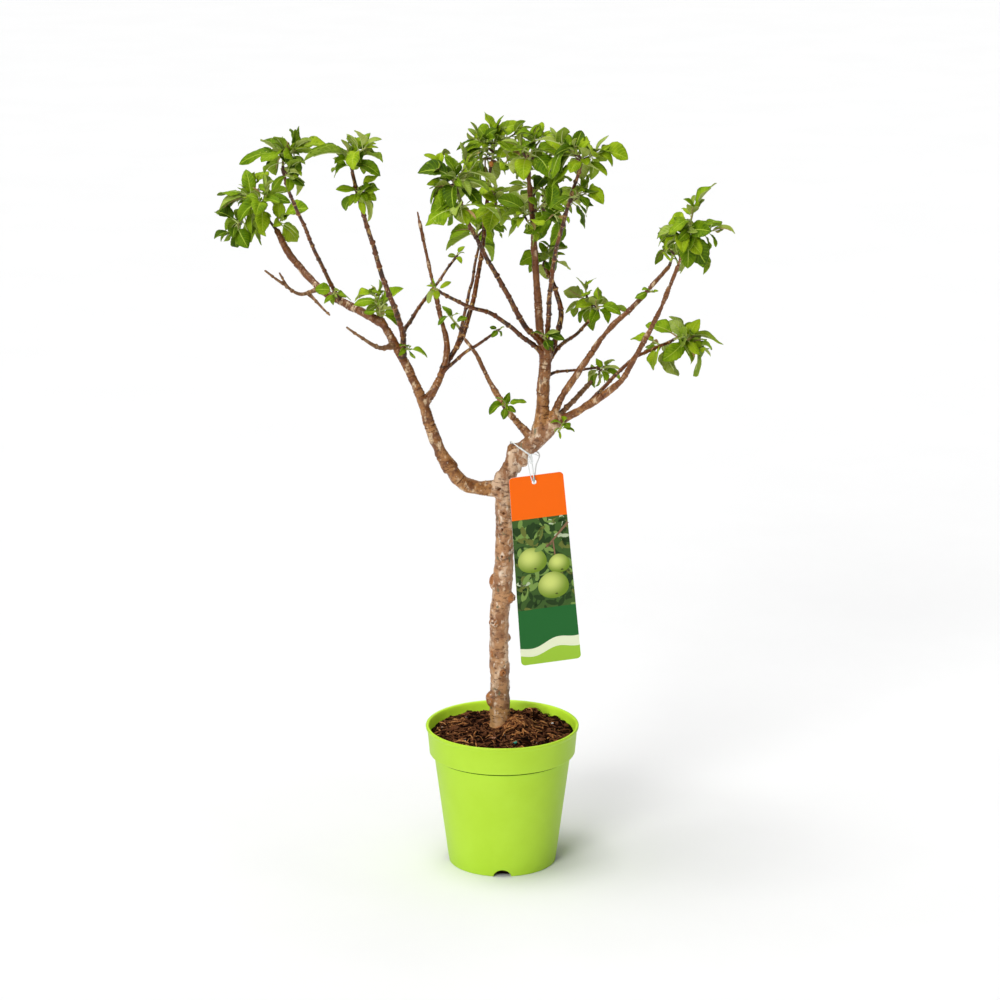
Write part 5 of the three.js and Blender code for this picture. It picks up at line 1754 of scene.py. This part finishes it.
        parts.add(points, repeated(template, count, 2 * grid.size), None, tones[:, kind].ravel(),
                  np.tile(flat.reshape(-1, 2), (2 * count, 1)))

    def stalks(self, parts: MeshParts, shape: "BladeShape", random: Random) -> None:
        """Adds the stalks, each running on under its blade as the midrib.

        Args:
            parts: where they go.
            shape: the shapes of the leaves.
            random: the numbers to deal their colours by.
        """
        share = np.array([0, 0.07, 0.14, 0.2, 0.32, 0.48, 0.64, 0.8])
        middle, side, normal = shape.line(share)
        turn = turns(self.stalk_sides)[:, None]
        root, end = self.stalk_radius
        scale = np.clip(shape.length / 42, 0.4, 1.15)[:, None]
        radius = (root + (end - root) * share) * scale + 0.35 * scale * bell(share / 0.04)
        sunk = np.where(share > FORM.stalk, self.thick + 0.1, self.thick * share / FORM.stalk)
        spokes = side[:, :, None] * np.cos(turn) + normal[:, :, None] * np.sin(turn)
        points = (middle - normal * sunk[:, None])[:, :, None] + spokes * radius[..., None, None]
        count, tube = len(shape.length), ring_quads(len(share), self.stalk_sides)
        red = (random.random(count) < self.red_stalks).astype(int)
        parts.add(points.reshape(-1, 3), repeated(tube, count, len(share) * self.stalk_sides), None,
                  np.repeat(red, len(tube)))


@dataclass
class BladeShape:
    """The shapes of many leaves at once, a row for each leaf."""

    root: Array
    along: Array
    up: Array
    length: Array
    tone: Array
    width: Array
    fold: Array
    arch: Array
    droop: Array
    sway: Array
    twist: Array
    curl: Array
    wave: Array
    ripple: Array
    phase: Array

    @classmethod
    def draw(cls, leaves: list[Leaf], random: Random) -> "BladeShape":
        """Draws a shape for each leaf: young ones narrow and folded, old ones broad, arched and wavy.

        Args:
            leaves: the leaves.
            random: the numbers to draw by.

        Returns:
            Their shapes.
        """
        given = {name: np.array([getattr(leaf, name) for leaf in leaves])
                 for name in ("age", "root", "along", "up", "length", "tone")}

        def between(low: float, high: float) -> Array:
            """Returns a number for each leaf within a span."""
            return low + (high - low) * random.random(len(leaves))

        young = np.clip(1 - given.pop("age") * 2.5, 0, 1)
        return cls(
            **given,
            width=between(0.52, 0.7) * (1 - 0.3 * young),
            fold=np.radians(between(12, 50)) + young * 0.4,
            arch=between(0.04, 0.2),
            droop=between(0.0, 0.24) * (1 - young),
            sway=between(-0.12, 0.12),
            twist=between(-0.8, 0.8),
            curl=between(-0.6, 0.14),
            wave=between(0.07, 0.25) * (1 - 0.6 * young),
            ripple=between(4, 11),
            phase=between(0, 6.28))

    def line(self, share: Array) -> tuple[Array, Array, Array]:
        """Works out the midribs.

        Args:
            share: shares of the leaf's length.

        Returns:
            For each leaf and share the midrib's point, the way to the leaf's side, and its upper side.
        """
        s = share[:, None]
        aside = np.cross(self.along, self.up)[:, None]
        along, up = self.along[:, None], self.up[:, None]
        arch, droop, sway = (value[:, None, None] for value in (self.arch, self.droop, self.sway))
        bent = along * s + up * (4 * arch * s * (1 - s) - droop * s**2) + aside * sway * s**2
        slope = unit(along + up * (4 * arch * (1 - 2 * s) - 2 * droop * s) + aside * 2 * sway * s)
        side = unit(aside - slope * np.sum(aside * slope, axis=-1, keepdims=True))
        normal = np.cross(side, slope)
        turn = self.twist[:, None, None] * s
        c, s = np.cos(turn), np.sin(turn)
        points = self.root[:, None] + bent * self.length[:, None, None]
        return points, side * c + normal * s, normal * c - side * s


# Pot and soil


@dataclass
class Pot:
    """The moulded pot: turned walls with a band under the lip, ribs inside, and notches at the foot."""

    height: float = 186.0
    base: float = 70.5
    shoulder: Span = (89.5, 147.0)
    band_low: Span = (95.3, 150.0)
    band_top: Span = (97.8, 180.5)
    lip: float = 100.0
    wall: float = 2.4
    floor: float = 3.0
    facets: int = 240
    ribs: int = 16
    rib_height: float = 0.9
    notch: tuple = (24.0, 9.6, 57.0, 76.0)  # width, height, and from and to which radius

    def outer(self) -> list[Span]:
        """Draws the outer profile with its rounded corners.

        Returns:
            Radii and heights, from the foot up.
        """
        (neck, neck_z), (low, low_z), (top, top_z) = self.shoulder, self.band_low, self.band_top
        foot = [(self.base - 1.5 + 1.5 * math.sin(turn), 1.5 - 1.5 * math.cos(turn))
                for turn in np.linspace(0, 1.5, 5)]
        lip = [(self.lip - 1.1 + 1.1 * math.cos(turn), self.height - 1.3 + 1.3 * math.sin(turn))
               for turn in np.linspace(-0.6, math.pi / 2, 6)]
        groove = [(neck - 0.3, neck_z - 1.4), (neck - 0.95, neck_z - 0.8), (neck - 1.0, neck_z),
                  (neck, neck_z + 0.3)]
        band = [(low - 0.9, low_z - 1.3), (low - 0.2, low_z - 0.3), (low + 0.02, low_z + 1.2),
                (top - 0.1, top_z - 1.6), (top + 0.25, top_z)]
        return [*foot, *groove, *band, (self.lip - 0.5, top_z + 1.7), (self.lip - 0.1, top_z + 2.8), *lip]

    def inner(self) -> list[Span]:
        """Draws the inner profile.

        Returns:
            Radii and heights, from the floor up.
        """
        radii = (self.base, self.shoulder[0], self.band_low[0], self.band_top[0])
        foot, neck, low, top = (radius - self.wall for radius in radii)
        return [(foot - 1, self.floor), (foot, self.floor + 1), (neck, self.shoulder[1] + 1),
                (low, self.band_low[1] + 1), (top, self.band_top[1]), (top + 0.5, self.height - 1.6),
                (top + 1.1, self.height - 0.4), (top + 1.8, self.height)]

    def build(self) -> None:
        """Turns the walls, cuts the notches and dresses the pot."""
        profile = [(0.01, 0.0), *self.outer(), *self.inner()[::-1], (0.01, self.floor)]
        inside = len(self.outer()) + 1
        phase = turns(self.facets) * self.ribs / (2 * math.pi) + 0.35
        rib = bell((phase % 1 - 0.5) / 0.03) * self.rib_height
        rings, slots = [], []
        for i, (radius, z) in enumerate(profile):
            ribbed = i >= inside and self.band_low[1] < z < self.height - 2
            rings.append(around(radius - rib * ribbed, self.facets, z)[::-1])
            # the faces of the groove under the band take the painted shade
            crease_shaded = -1.2 < (z + profile[i - 1][1]) / 2 - self.shoulder[1] < 0.2
            slots.append(2 if i >= inside else int(crease_shaded))
        parts = MeshParts()
        parts.shell(np.array(rings), np.array(slots[1:]))
        pot = parts.build("flower_pot", [POT_PLASTIC, CREASE_SHADE, POT_INSIDE_PAINTED_LIGHT], "pot_plastic")
        cutter = self.cutter()
        cut = pot.modifiers.new("notches", "BOOLEAN")
        cut.operation, cut.solver, cut.object = "DIFFERENCE", "EXACT", cutter
        pot = settled(pot)
        bpy.data.objects.remove(cutter)
        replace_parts(dressed(pot, [], 34), "pot")

    def cutter(self) -> Thing:
        """Makes the bars that cut the notches.

        Returns:
            One object with all four.
        """
        width, height, low, high = self.notch
        arc = (height**2 + (width / 2) ** 2) / (2 * height)
        parts = MeshParts()
        for way in around(1.0, 4):
            path = np.array([way * radius + [0, 0, height - arc] for radius in (low, (low + high) / 2, high)])
            parts.tube(path, np.full(3, arc), 48)
        return parts.build("notch_bars", [POT_PLASTIC], "pot_plastic")

    def wall_radius(self, z: Array | float) -> Array | float:
        """Returns the radius of the inner wall at a height."""
        inner = np.array(self.inner())
        return np.interp(z, inner[:, 1], inner[:, 0])


@dataclass
class Soil:
    """The potting mix: a lumpy bed with root fibre, crumbs and grains on it."""

    pot: Pot
    bed: float = 3.3
    profile: tuple = ((27, 179.7), (60, 176.6), (92, 173))
    heaps: tuple = (((20, 2, 180), (20, 24, 11)), ((36, 44, 178), (17, 14, 11)),
                    ((-30, -34, 174), (24, 20, 5)))
    foot: Span = (-3.0, 10.0)
    hollow: Span = (20.0, 3.4)  # round the trunk: radius and depth
    facets: int = 260
    rings: int = 96
    level: float = 174.0  # where the soil meets the wall
    reach: float = 89.0
    clear: Span = (13.5, 14.0)  # from the trunk's middle to the nearest fibres and crumbs
    fibres: int = 1650
    crumbs: int = 1100
    kinds: tuple[float, ...] = (0.62, 0.345, 0.02, 0.015)  # shares of peat, bark, white grains and chips
    # grains put in their places: x, y, size and slot
    placed: tuple = ((17, -57, 2.9, 4), (-17, -42, 2.5, 3), (-13, -43.5, 2.2, 3), (-9.5, -42, 2, 3),
                     (-48, -44, 2.6, 2), (66, 30, 1.9, 2), (2, -30, 1.6, 2), (27, 30, 2, 3))

    def somewhere(self, random: Random) -> Span:
        """Returns a random place on the soil."""
        radius, bearing = self.reach * math.sqrt(random.random()), random.uniform(0, 2 * math.pi)
        return radius * math.cos(bearing), radius * math.sin(bearing)

    def top(self, x: Array, y: Array) -> Array:
        """Works out the height of the soil.

        Args:
            x: places to the right.
            y: places to the back.

        Returns:
            A height for each.
        """
        radii, heights = zip(*self.profile)
        z = np.interp(np.hypot(x, y), radii, heights)
        for (cx, cy, cz), (a, b, c) in self.heaps:
            dome = 1 - ((x - cx) / a) ** 2 - ((y - cy) / b) ** 2
            z = np.maximum(z, cz + c * np.sqrt(np.maximum(dome, 0)) - np.where(dome > 0, 0, 99))
        flat = np.c_[x, y, 0 * x]
        z += 1.9 * lumpy(flat, 14, 31) + 2.6 * lumpy(flat, 7, 32) + 1.8 * np.abs(lumpy(flat, 3.6, 33))
        z += 0.7 * lumpy(flat, 1.7, 34)
        away = np.hypot(x - self.foot[0], y - self.foot[1])
        z -= self.hollow[1] * bell(away / self.hollow[0]) * (y < self.foot[1] + 6)
        edge = np.clip((self.pot.wall_radius(self.level) - np.hypot(x, y)) / 6, 0, 1)
        return z - 1.6 * (1 - edge) + 0.2

    def build(self) -> None:
        """Builds the bed, the fibres and the crumbs."""
        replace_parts(self.plug(), "soil")
        self.scatter_fibres()
        self.scatter_crumbs()

    def plug(self) -> Thing:
        """Builds the bed of soil, down to the pot's floor.

        Returns:
            The bed.
        """
        wall = self.pot.wall_radius(self.level) - 0.4
        rings = [around(wall * share, self.facets) for share in np.linspace(0.004, 1, self.rings)]
        for ring in rings:
            ring[:, 2] = self.top(ring[:, 0], ring[:, 1])
        for z in (160.0, 151.5, 148.0, 80.0, 4.4, self.bed):
            rings.append(around(self.pot.wall_radius(z) - 0.5, self.facets, z))
        parts = MeshParts()
        parts.shell(np.array(rings))
        return parts.build("soil_bed", [SOIL_DARK], "potting_soil")

    def scatter_fibres(self) -> None:
        """Strews fibres and fine roots over the soil, thick and tan on the heap beside the trunk."""
        random = np.random.default_rng(5)
        parts = MeshParts()
        for k in range(self.fibres):
            on_heap = k % 5 == 0
            x, y = random.normal((20, 0), (12, 17)) if on_heap else self.somewhere(random)
            bare = not on_heap and lumpy(np.array([[x, y, 0.0]]), 9, 35)[0] < -0.22
            near = math.hypot(x - self.foot[0], y - self.foot[1]) < self.clear[0]
            if bare or near or math.hypot(x, y) > self.reach - 1:
                continue
            length = random.uniform(6, 26) * (1.25 if on_heap else 1)
            way = random.uniform(0, 2 * math.pi)
            share = np.linspace(-0.5, 0.5, 7)
            bend = random.uniform(-0.8, 0.8) * length
            flat = (length * share + 2j * bend * share**2) * np.exp(1j * way) + x + 1j * y
            flat *= np.minimum(1, (self.reach + 0.5) / np.maximum(np.abs(flat), 1))
            px, py = flat.real, flat.imag
            thick = random.random() < (0.8 if on_heap else 0.55)
            arch = random.uniform(0.3, 4.5) * (1 - (2 * share) ** 2)
            height = self.top(px, py)
            path = np.c_[px, py, 0.45 * height + 0.55 * height.mean() + arch - 0.3]
            radius = random.uniform(0.6, 1.3) if thick else random.uniform(0.25, 0.42)
            slot = random.choice(3, p=(0.34, 0.2, 0.46) if on_heap else (0.52, 0.32, 0.16))
            parts.tube(path, radius * (1 - 0.5 * np.abs(2 * share) ** 3), 4, int(slot))
        parts.build("soil_fibres", [FIBRE_BROWN, FIBRE_DARK, FIBRE_TAN], "potting_soil")

    def scatter_crumbs(self) -> None:
        """Strews crumbs of peat and bark, white grains, a few pale chips and one granule over the soil."""
        random = np.random.default_rng(8)
        parts = MeshParts()
        for k in range(self.crumbs):
            if k < len(self.placed):
                x, y, size, slot = self.placed[k]
            else:
                x, y = self.somewhere(random)
                slot = int(random.choice(4, p=self.kinds))
                small = random.uniform(0.35, 0.9) if slot > 1 else random.uniform(0.8, 4.2)
                size = small if slot > 1 else small * random.random() + 0.6
            if math.hypot(x - self.foot[0], y - self.foot[1]) < self.clear[1]:
                continue
            reach = size * random.uniform((0.9, 0.7, 0.35), (1.7, 1.1, 0.7))
            z = float(self.top(np.array([x]), np.array([y]))[0]) + size * (0.8 if slot > 1 else 0.25)
            parts.ball((0, 0, 0), reach, 7, slot)
            lump = parts.points.pop()
            turn, tilt = random.uniform(0, 6.28), random.uniform(-0.5, 0.5)
            spin = Matrix.Rotation(turn, 3, "Z") @ Matrix.Rotation(tilt, 3, "X")
            rough = 1 + 0.3 * lumpy(lump + k * 3.7, size * 0.9, k)
            parts.points.append((lump * rough[:, None]) @ np.array(spin).T + [x, y, z])
        parts.build("soil_crumbs", [SOIL_DARK, FIBRE_BROWN, PERLITE, CHIP, GRANULE], "potting_soil", 40)


# Label card and tie


@dataclass
class LabelCard:
    """The hanging card: a plain printed picture of fruit among leaves between bare bands of colour."""

    width: float = 69.0
    height: float = 252.0
    thick: float = 1.0
    corner: float = 5.0
    hole: float = 3.0
    hole_drop: float = 9.0
    hole_aside: float = 3.0  # millimetres from the hole to the card's middle
    flare: Span = (1.145, 1.02)  # times its width that the card has at its foot and at its head
    at: Point = (40.5, -17.0, 517.0)
    roll: float = 4.8
    yaw: float = 10.0
    orange_foot: float = -48.0
    picture_foot: float = -169.0
    waves: tuple = ((2, 28.5, 7.0, "card_cream"), (3, 16.5, 5.0, "card_lime"))  # layer, height, rise, finish
    ink: float = 0.05  # millimetres by which each layer of print lies over the last
    leaves: int = 240
    leaf_inks: tuple[str, ...] = ("print_dark", "print_olive", "print_light", "print_mid", "print_pale")
    ink_shares: tuple[float, ...] = (0.4, 0.15, 0.17, 0.22, 0.06)
    twigs: tuple = (((34.5, -58), (6, -88), (1.5, 1.5)), ((12, -84), (-14, -92), (1.1, 1.1)),
                    ((14, -80), (16, -118), (1.0, 1.0)))
    fruits: tuple = ((19, -112, 13.0, 9), (-13, -104, 17.5, 10), (10, -140, 18.5, 11))
    front_leaves: tuple = ((-2, -88, 0.5, 17, "print_light"), (20, -92, 2.2, 15, "print_mid"),
                           (-22, -128, 1.0, 16, "print_light"), (-8, -154, 2.7, 15, "print_dark"))

    def placed(self, points: Array) -> Array:
        """Moves places from the card's own frame to where it hangs.

        Args:
            points: places to the right, up, and out of the card's face.

        Returns:
            The places in the part's frame.
        """
        yaw, roll = (math.radians(angle) for angle in (self.yaw, -self.roll))
        turned = np.array(Matrix.Rotation(yaw, 3, "Z") @ Matrix.Rotation(roll, 3, "Y"))
        right, up, out = points.T
        right = right * np.interp(up, (self.hole_drop - self.height, self.hole_drop), self.flare)
        return np.c_[right + self.hole_aside, -out, up] @ turned.T + self.at

    def face(self, parts: MeshParts, loops: list[Array], layer: int, slot: str) -> None:
        """Adds a flat shape to the card's face or back.

        Args:
            parts: where it goes.
            loops: its outline, and holes after it, as places right and up.
            layer: how many layers of print lie under it, or -1 for the back.
            slot: its finish.
        """
        out = -self.thick / 2 if layer < 0 else self.thick / 2 + self.ink * layer
        flat = np.concatenate(loops)
        tris = np.array(tessellate_polygon([[Vector((*p, 0)) for p in loop] for loop in loops]))
        a, b, c = (flat[tris[:, k]] for k in range(3))
        turned = ((b - a)[:, 0] * (c - a)[:, 1] - (b - a)[:, 1] * (c - a)[:, 0]) * out < 0
        tris[turned] = tris[turned][:, ::-1]
        uv = (flat - flat.min(axis=0)) / np.ptp(flat, axis=0)
        parts.add(self.placed(np.insert(flat, 2, out, axis=1)), None, tris, CARD_SLOT[slot], uv)

    def outline(self, low: float, high: float) -> Array:
        """Works out the card's rounded outline between two heights.

        Args:
            low: the lower height.
            high: the upper height.

        Returns:
            Its points, up the right side and down the left.
        """
        foot, head, r = self.hole_drop - self.height, self.hole_drop, self.corner
        rounding = r * (1 - np.cos(np.linspace(0, math.pi / 2, 7)))
        levels = np.unique(np.clip(np.concatenate([foot + rounding, head - rounding]), low, high))
        depth = np.maximum(r - np.minimum(levels - foot, head - levels), 0)
        side = np.c_[self.width / 2 - r + np.sqrt(r**2 - depth**2), levels]
        return np.vstack([side, side[::-1] * [-1, 1]])

    def wave(self, level: float, rise: float, steps: int = 30) -> Array:
        """Draws a wavy line across the card.

        Args:
            level: its height.
            rise: how far it rises to the right.
            steps: how many points it has.

        Returns:
            Its points, from left to right.
        """
        half = self.width / 2
        x = np.linspace(-half, half, steps)
        return np.c_[x, level + rise * (x / half) + 3.2 * np.sin(x / half * 4.2 + 0.6)]

    def build(self) -> None:
        """Builds the plate and its print."""
        parts = MeshParts()
        foot, head = self.hole_drop - self.height, self.hole_drop
        rim, hole = self.outline(foot, head), around(self.hole, 24)[::-1, :2] - [self.hole_aside, 0]
        for layer in (0, -1):
            self.face(parts, [rim, hole], layer, "card_edge")
        for loop in (rim, hole):
            edge = np.vstack([np.insert(loop, 2, out, axis=1) for out in (self.thick / 2, -self.thick / 2)])
            parts.add(self.placed(edge), ring_quads(2, len(loop)), None, CARD_SLOT["card_edge"])
        self.face(parts, [self.outline(self.orange_foot, head), hole], 1, "card_orange")
        self.face(parts, [self.outline(self.picture_foot, self.orange_foot)], 1, "print_mid")
        self.face(parts, [self.outline(foot, self.picture_foot)], 1, "card_green")
        self.picture(parts)
        low_edge = self.outline(foot, foot + self.corner)
        low_edge = np.roll(low_edge, len(low_edge) // 2, axis=0)
        for layer, level, rise, slot in self.waves:
            self.face(parts, [np.vstack([low_edge, self.wave(foot + level, rise)[::-1]])], layer, slot)
        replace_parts(parts.build("label_card_print", CARD_FINISHES, "label_card", 30), "label_card")

    def picture(self, parts: MeshParts) -> None:
        """Prints round fruits on twigs among leaves.

        Args:
            parts: where it goes.
        """
        random = np.random.default_rng(3)
        half = self.width / 2
        low, high = (-half, self.picture_foot), (half, self.orange_foot)
        for k in range(self.leaves):
            middle, turned, size = random.uniform(low, high), random.uniform(0, 6.28), random.uniform(7, 19)
            ink = random.choice(self.leaf_inks, p=self.ink_shares)
            self.print_leaf(parts, middle, turned, size, 2 + k % 6, ink)
        for start, end, wide in np.array(self.twigs):
            side = unit(end - start)[::-1] * wide * [-1, 1]
            loop = np.array([start - side, end - side * 0.6, end + side * 0.6, start + side])
            self.face(parts, [loop], 8, "print_twig")
        ring = around(1.0, 40)[:, :2]
        for x, y, size, layer in self.fruits:
            dimples = [[0, 0.8 * math.cos(2 * turn)] for turn in turns(len(ring))]
            fruit = np.clip(ring * [size, size * 0.96] - dimples + [x, y], [-half, y - 99], [half, y + 99])
            self.face(parts, [fruit], layer, "print_fruit")
            self.face(parts, [ring * [1.7, 1.02] + [x + 3, y - size * 0.62]], layer + 1, "print_eye")
        for *middle, turned, size, slot in self.front_leaves:
            self.print_leaf(parts, np.array(middle), turned, size, 13, slot)

    def print_leaf(self, parts: MeshParts, middle: Array, turned: float, size: float, layer: int,
                   slot: str) -> None:
        """Prints one leaf, cut off at the edge of the picture.

        Args:
            parts: where it goes.
            middle: its middle.
            turned: which way it points, in radians.
            size: its length.
            layer: how many layers lie under it.
            slot: its finish.
        """
        share = np.linspace(0, math.pi, 7)
        side = np.c_[np.cos(share) * size / 2, np.sin(share) ** 1.2 * size * 0.21]
        ring = np.vstack([side, side[-2:0:-1] * [1, -1]])
        way = np.array(Matrix.Rotation(-turned, 2))
        half = self.width / 2
        ring = np.clip(ring @ way + middle, [-half, self.picture_foot], [half, self.orange_foot])
        if np.ptp(ring[:, 0]) > 1 and np.ptp(ring[:, 1]) > 1:
            self.face(parts, [ring], layer, slot)


@dataclass
class LabelTie:
    """The white elastic that holds the card, with a knot and a ferrule."""

    radius: float = 0.8
    loop: tuple = (
        (36, -14.6, 551), (39.5, -19.5, 530), (40, -20.2, 518.5), (40.5, -16.6, 515.6), (41, -13, 519),
        (43, -9, 536), (47.5, -2, 548), (42, 10.5, 551), (30, 15.5, 554), (13, 13.5, 558), (10.5, 6.5, 564),
        (14.5, -5, 564.5), (23, -14, 560), (36, -14.6, 551))
    strands: tuple = (
        ((34, -15, 552), (32.8, -17.6, 545), (33.5, -18.8, 537), (35.5, -19.4, 527), (38, -20, 519)),
        ((23, -13.6, 561), (29, -16.4, 557), (33, -16.8, 554.5), (36, -15.8, 552)),
        ((35, -15.4, 552), (38.5, -16.2, 553.2), (42.5, -14, 552.6), (46, -10, 549.5)),
        ((36.5, -16.4, 550), (38.6, -18.4, 546), (37.4, -19.2, 541.5), (34.8, -18.6, 543.5),
         (35, -16.8, 548.5)))
    knots: tuple = (((36, -15.4, 551.5), 2.1), ((34.2, -15.8, 549.6), 1.6), ((37.6, -16.2, 549.2), 1.5))
    ferrule: tuple[Point, Point] = ((40.2, -20.6, 521.5), (1.7, 1.5, 3.6))

    def build(self) -> None:
        """Builds the elastic and its ferrule."""
        parts = MeshParts()
        for line in (self.loop, *self.strands):
            path, _ = even_steps(smooth_curve(np.array(line, float), 8 * len(line)), 0.8)
            radius = self.radius if line is self.loop else 0.8 * self.radius
            parts.tube(path, radius * (1 + 0.05 * np.sin(1.9 * np.arange(len(path)))), 10)
        for at, size in self.knots:
            parts.ball(at, (size, size * 0.8, size * 0.85), 12)
        parts.ball(*self.ferrule, 14, 1)
        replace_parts(parts.build("label_elastic", [ELASTIC, FERRULE], "label_tie"), "label_tie")


# Floor, light and camera


@dataclass
class Studio:
    """A plain pale floor, soft light and the camera."""

    floor_size: float = 600.0
    eye: Point = (-0.003, -3.974, 1.546)
    pitch: float = 14.9
    lens: float = 115.4
    # each light: name, strength, then tilt from overhead, bearing and softness in degrees
    lights: tuple = (("top_light", 1.8, 9.0, -85.0, 30.0), ("wide_light", 0.7, 12.0, -80.0, 84.0),
                     ("front_light", 1.6, 64.0, -27.0, 24.0), ("back_light", 0.25, 60.0, 150.0, 40.0))
    sky: float = 0.08

    def build(self) -> None:
        """Builds the floor, the lights and the camera."""
        x, y, _ = around(self.floor_size, 4).T
        mesh = bpy.data.meshes.new("floor")
        mesh.from_pydata(np.c_[x - y, x + y, 0 * x] / 2, [], [range(4)])
        mesh.materials.append(FLOOR.material())
        self.place(mesh, (0, 0, 0), 0, 0)
        for name, strength, tilt, bearing, soft in self.lights:
            light = bpy.data.lights.new(name, "SUN")
            light.energy, light.angle = strength, math.radians(soft)
            self.place(light, (0, 0, 0), tilt, bearing)
        scene = bpy.context.scene
        scene.world = bpy.data.worlds.new("studio")
        scene.world.use_nodes = True
        sky = scene.world.node_tree.nodes["Background"].inputs
        sky["Color"].default_value, sky["Strength"].default_value = linear("#ffffff"), self.sky
        scene.view_settings.view_transform = "Standard"
        camera = bpy.data.cameras.new("camera")
        camera.lens, camera.sensor_width, camera.clip_end = self.lens, 36.0, 1000.0
        scene.camera = self.place(camera, self.eye, 90 - self.pitch, 0)

    @staticmethod
    def place(data: bpy.types.ID, at: Point, tilt: float, bearing: float) -> Thing:
        """Puts a floor, a light or a camera in the scene.

        Args:
            data: what it is.
            at: where it stands, in metres.
            tilt: how far it is tilted from looking down, in degrees.
            bearing: how far it is then turned about the upright, in degrees.

        Returns:
            Its object.
        """
        thing = bpy.data.objects.new(data.name, data)
        thing.location, thing.rotation_euler = at, (math.radians(tilt), 0, math.radians(bearing))
        bpy.context.scene.collection.objects.link(thing)
        return thing


def main() -> None:
    """Builds each sub-assembly in turn."""
    logging.basicConfig(level=logging.INFO, format="%(name)s: %(message)s")
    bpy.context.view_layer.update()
    skeleton, pot = Skeleton(), Pot()
    tree = (OldWood(skeleton), YoungWood(skeleton), Foliage(Growth(skeleton)))
    for piece in (pot, Soil(pot), *tree, LabelCard(), LabelTie(), Studio()):
        piece.build()
        LOG.info("built: %s", type(piece).__name__)


if __name__ == "__main__":
    main()
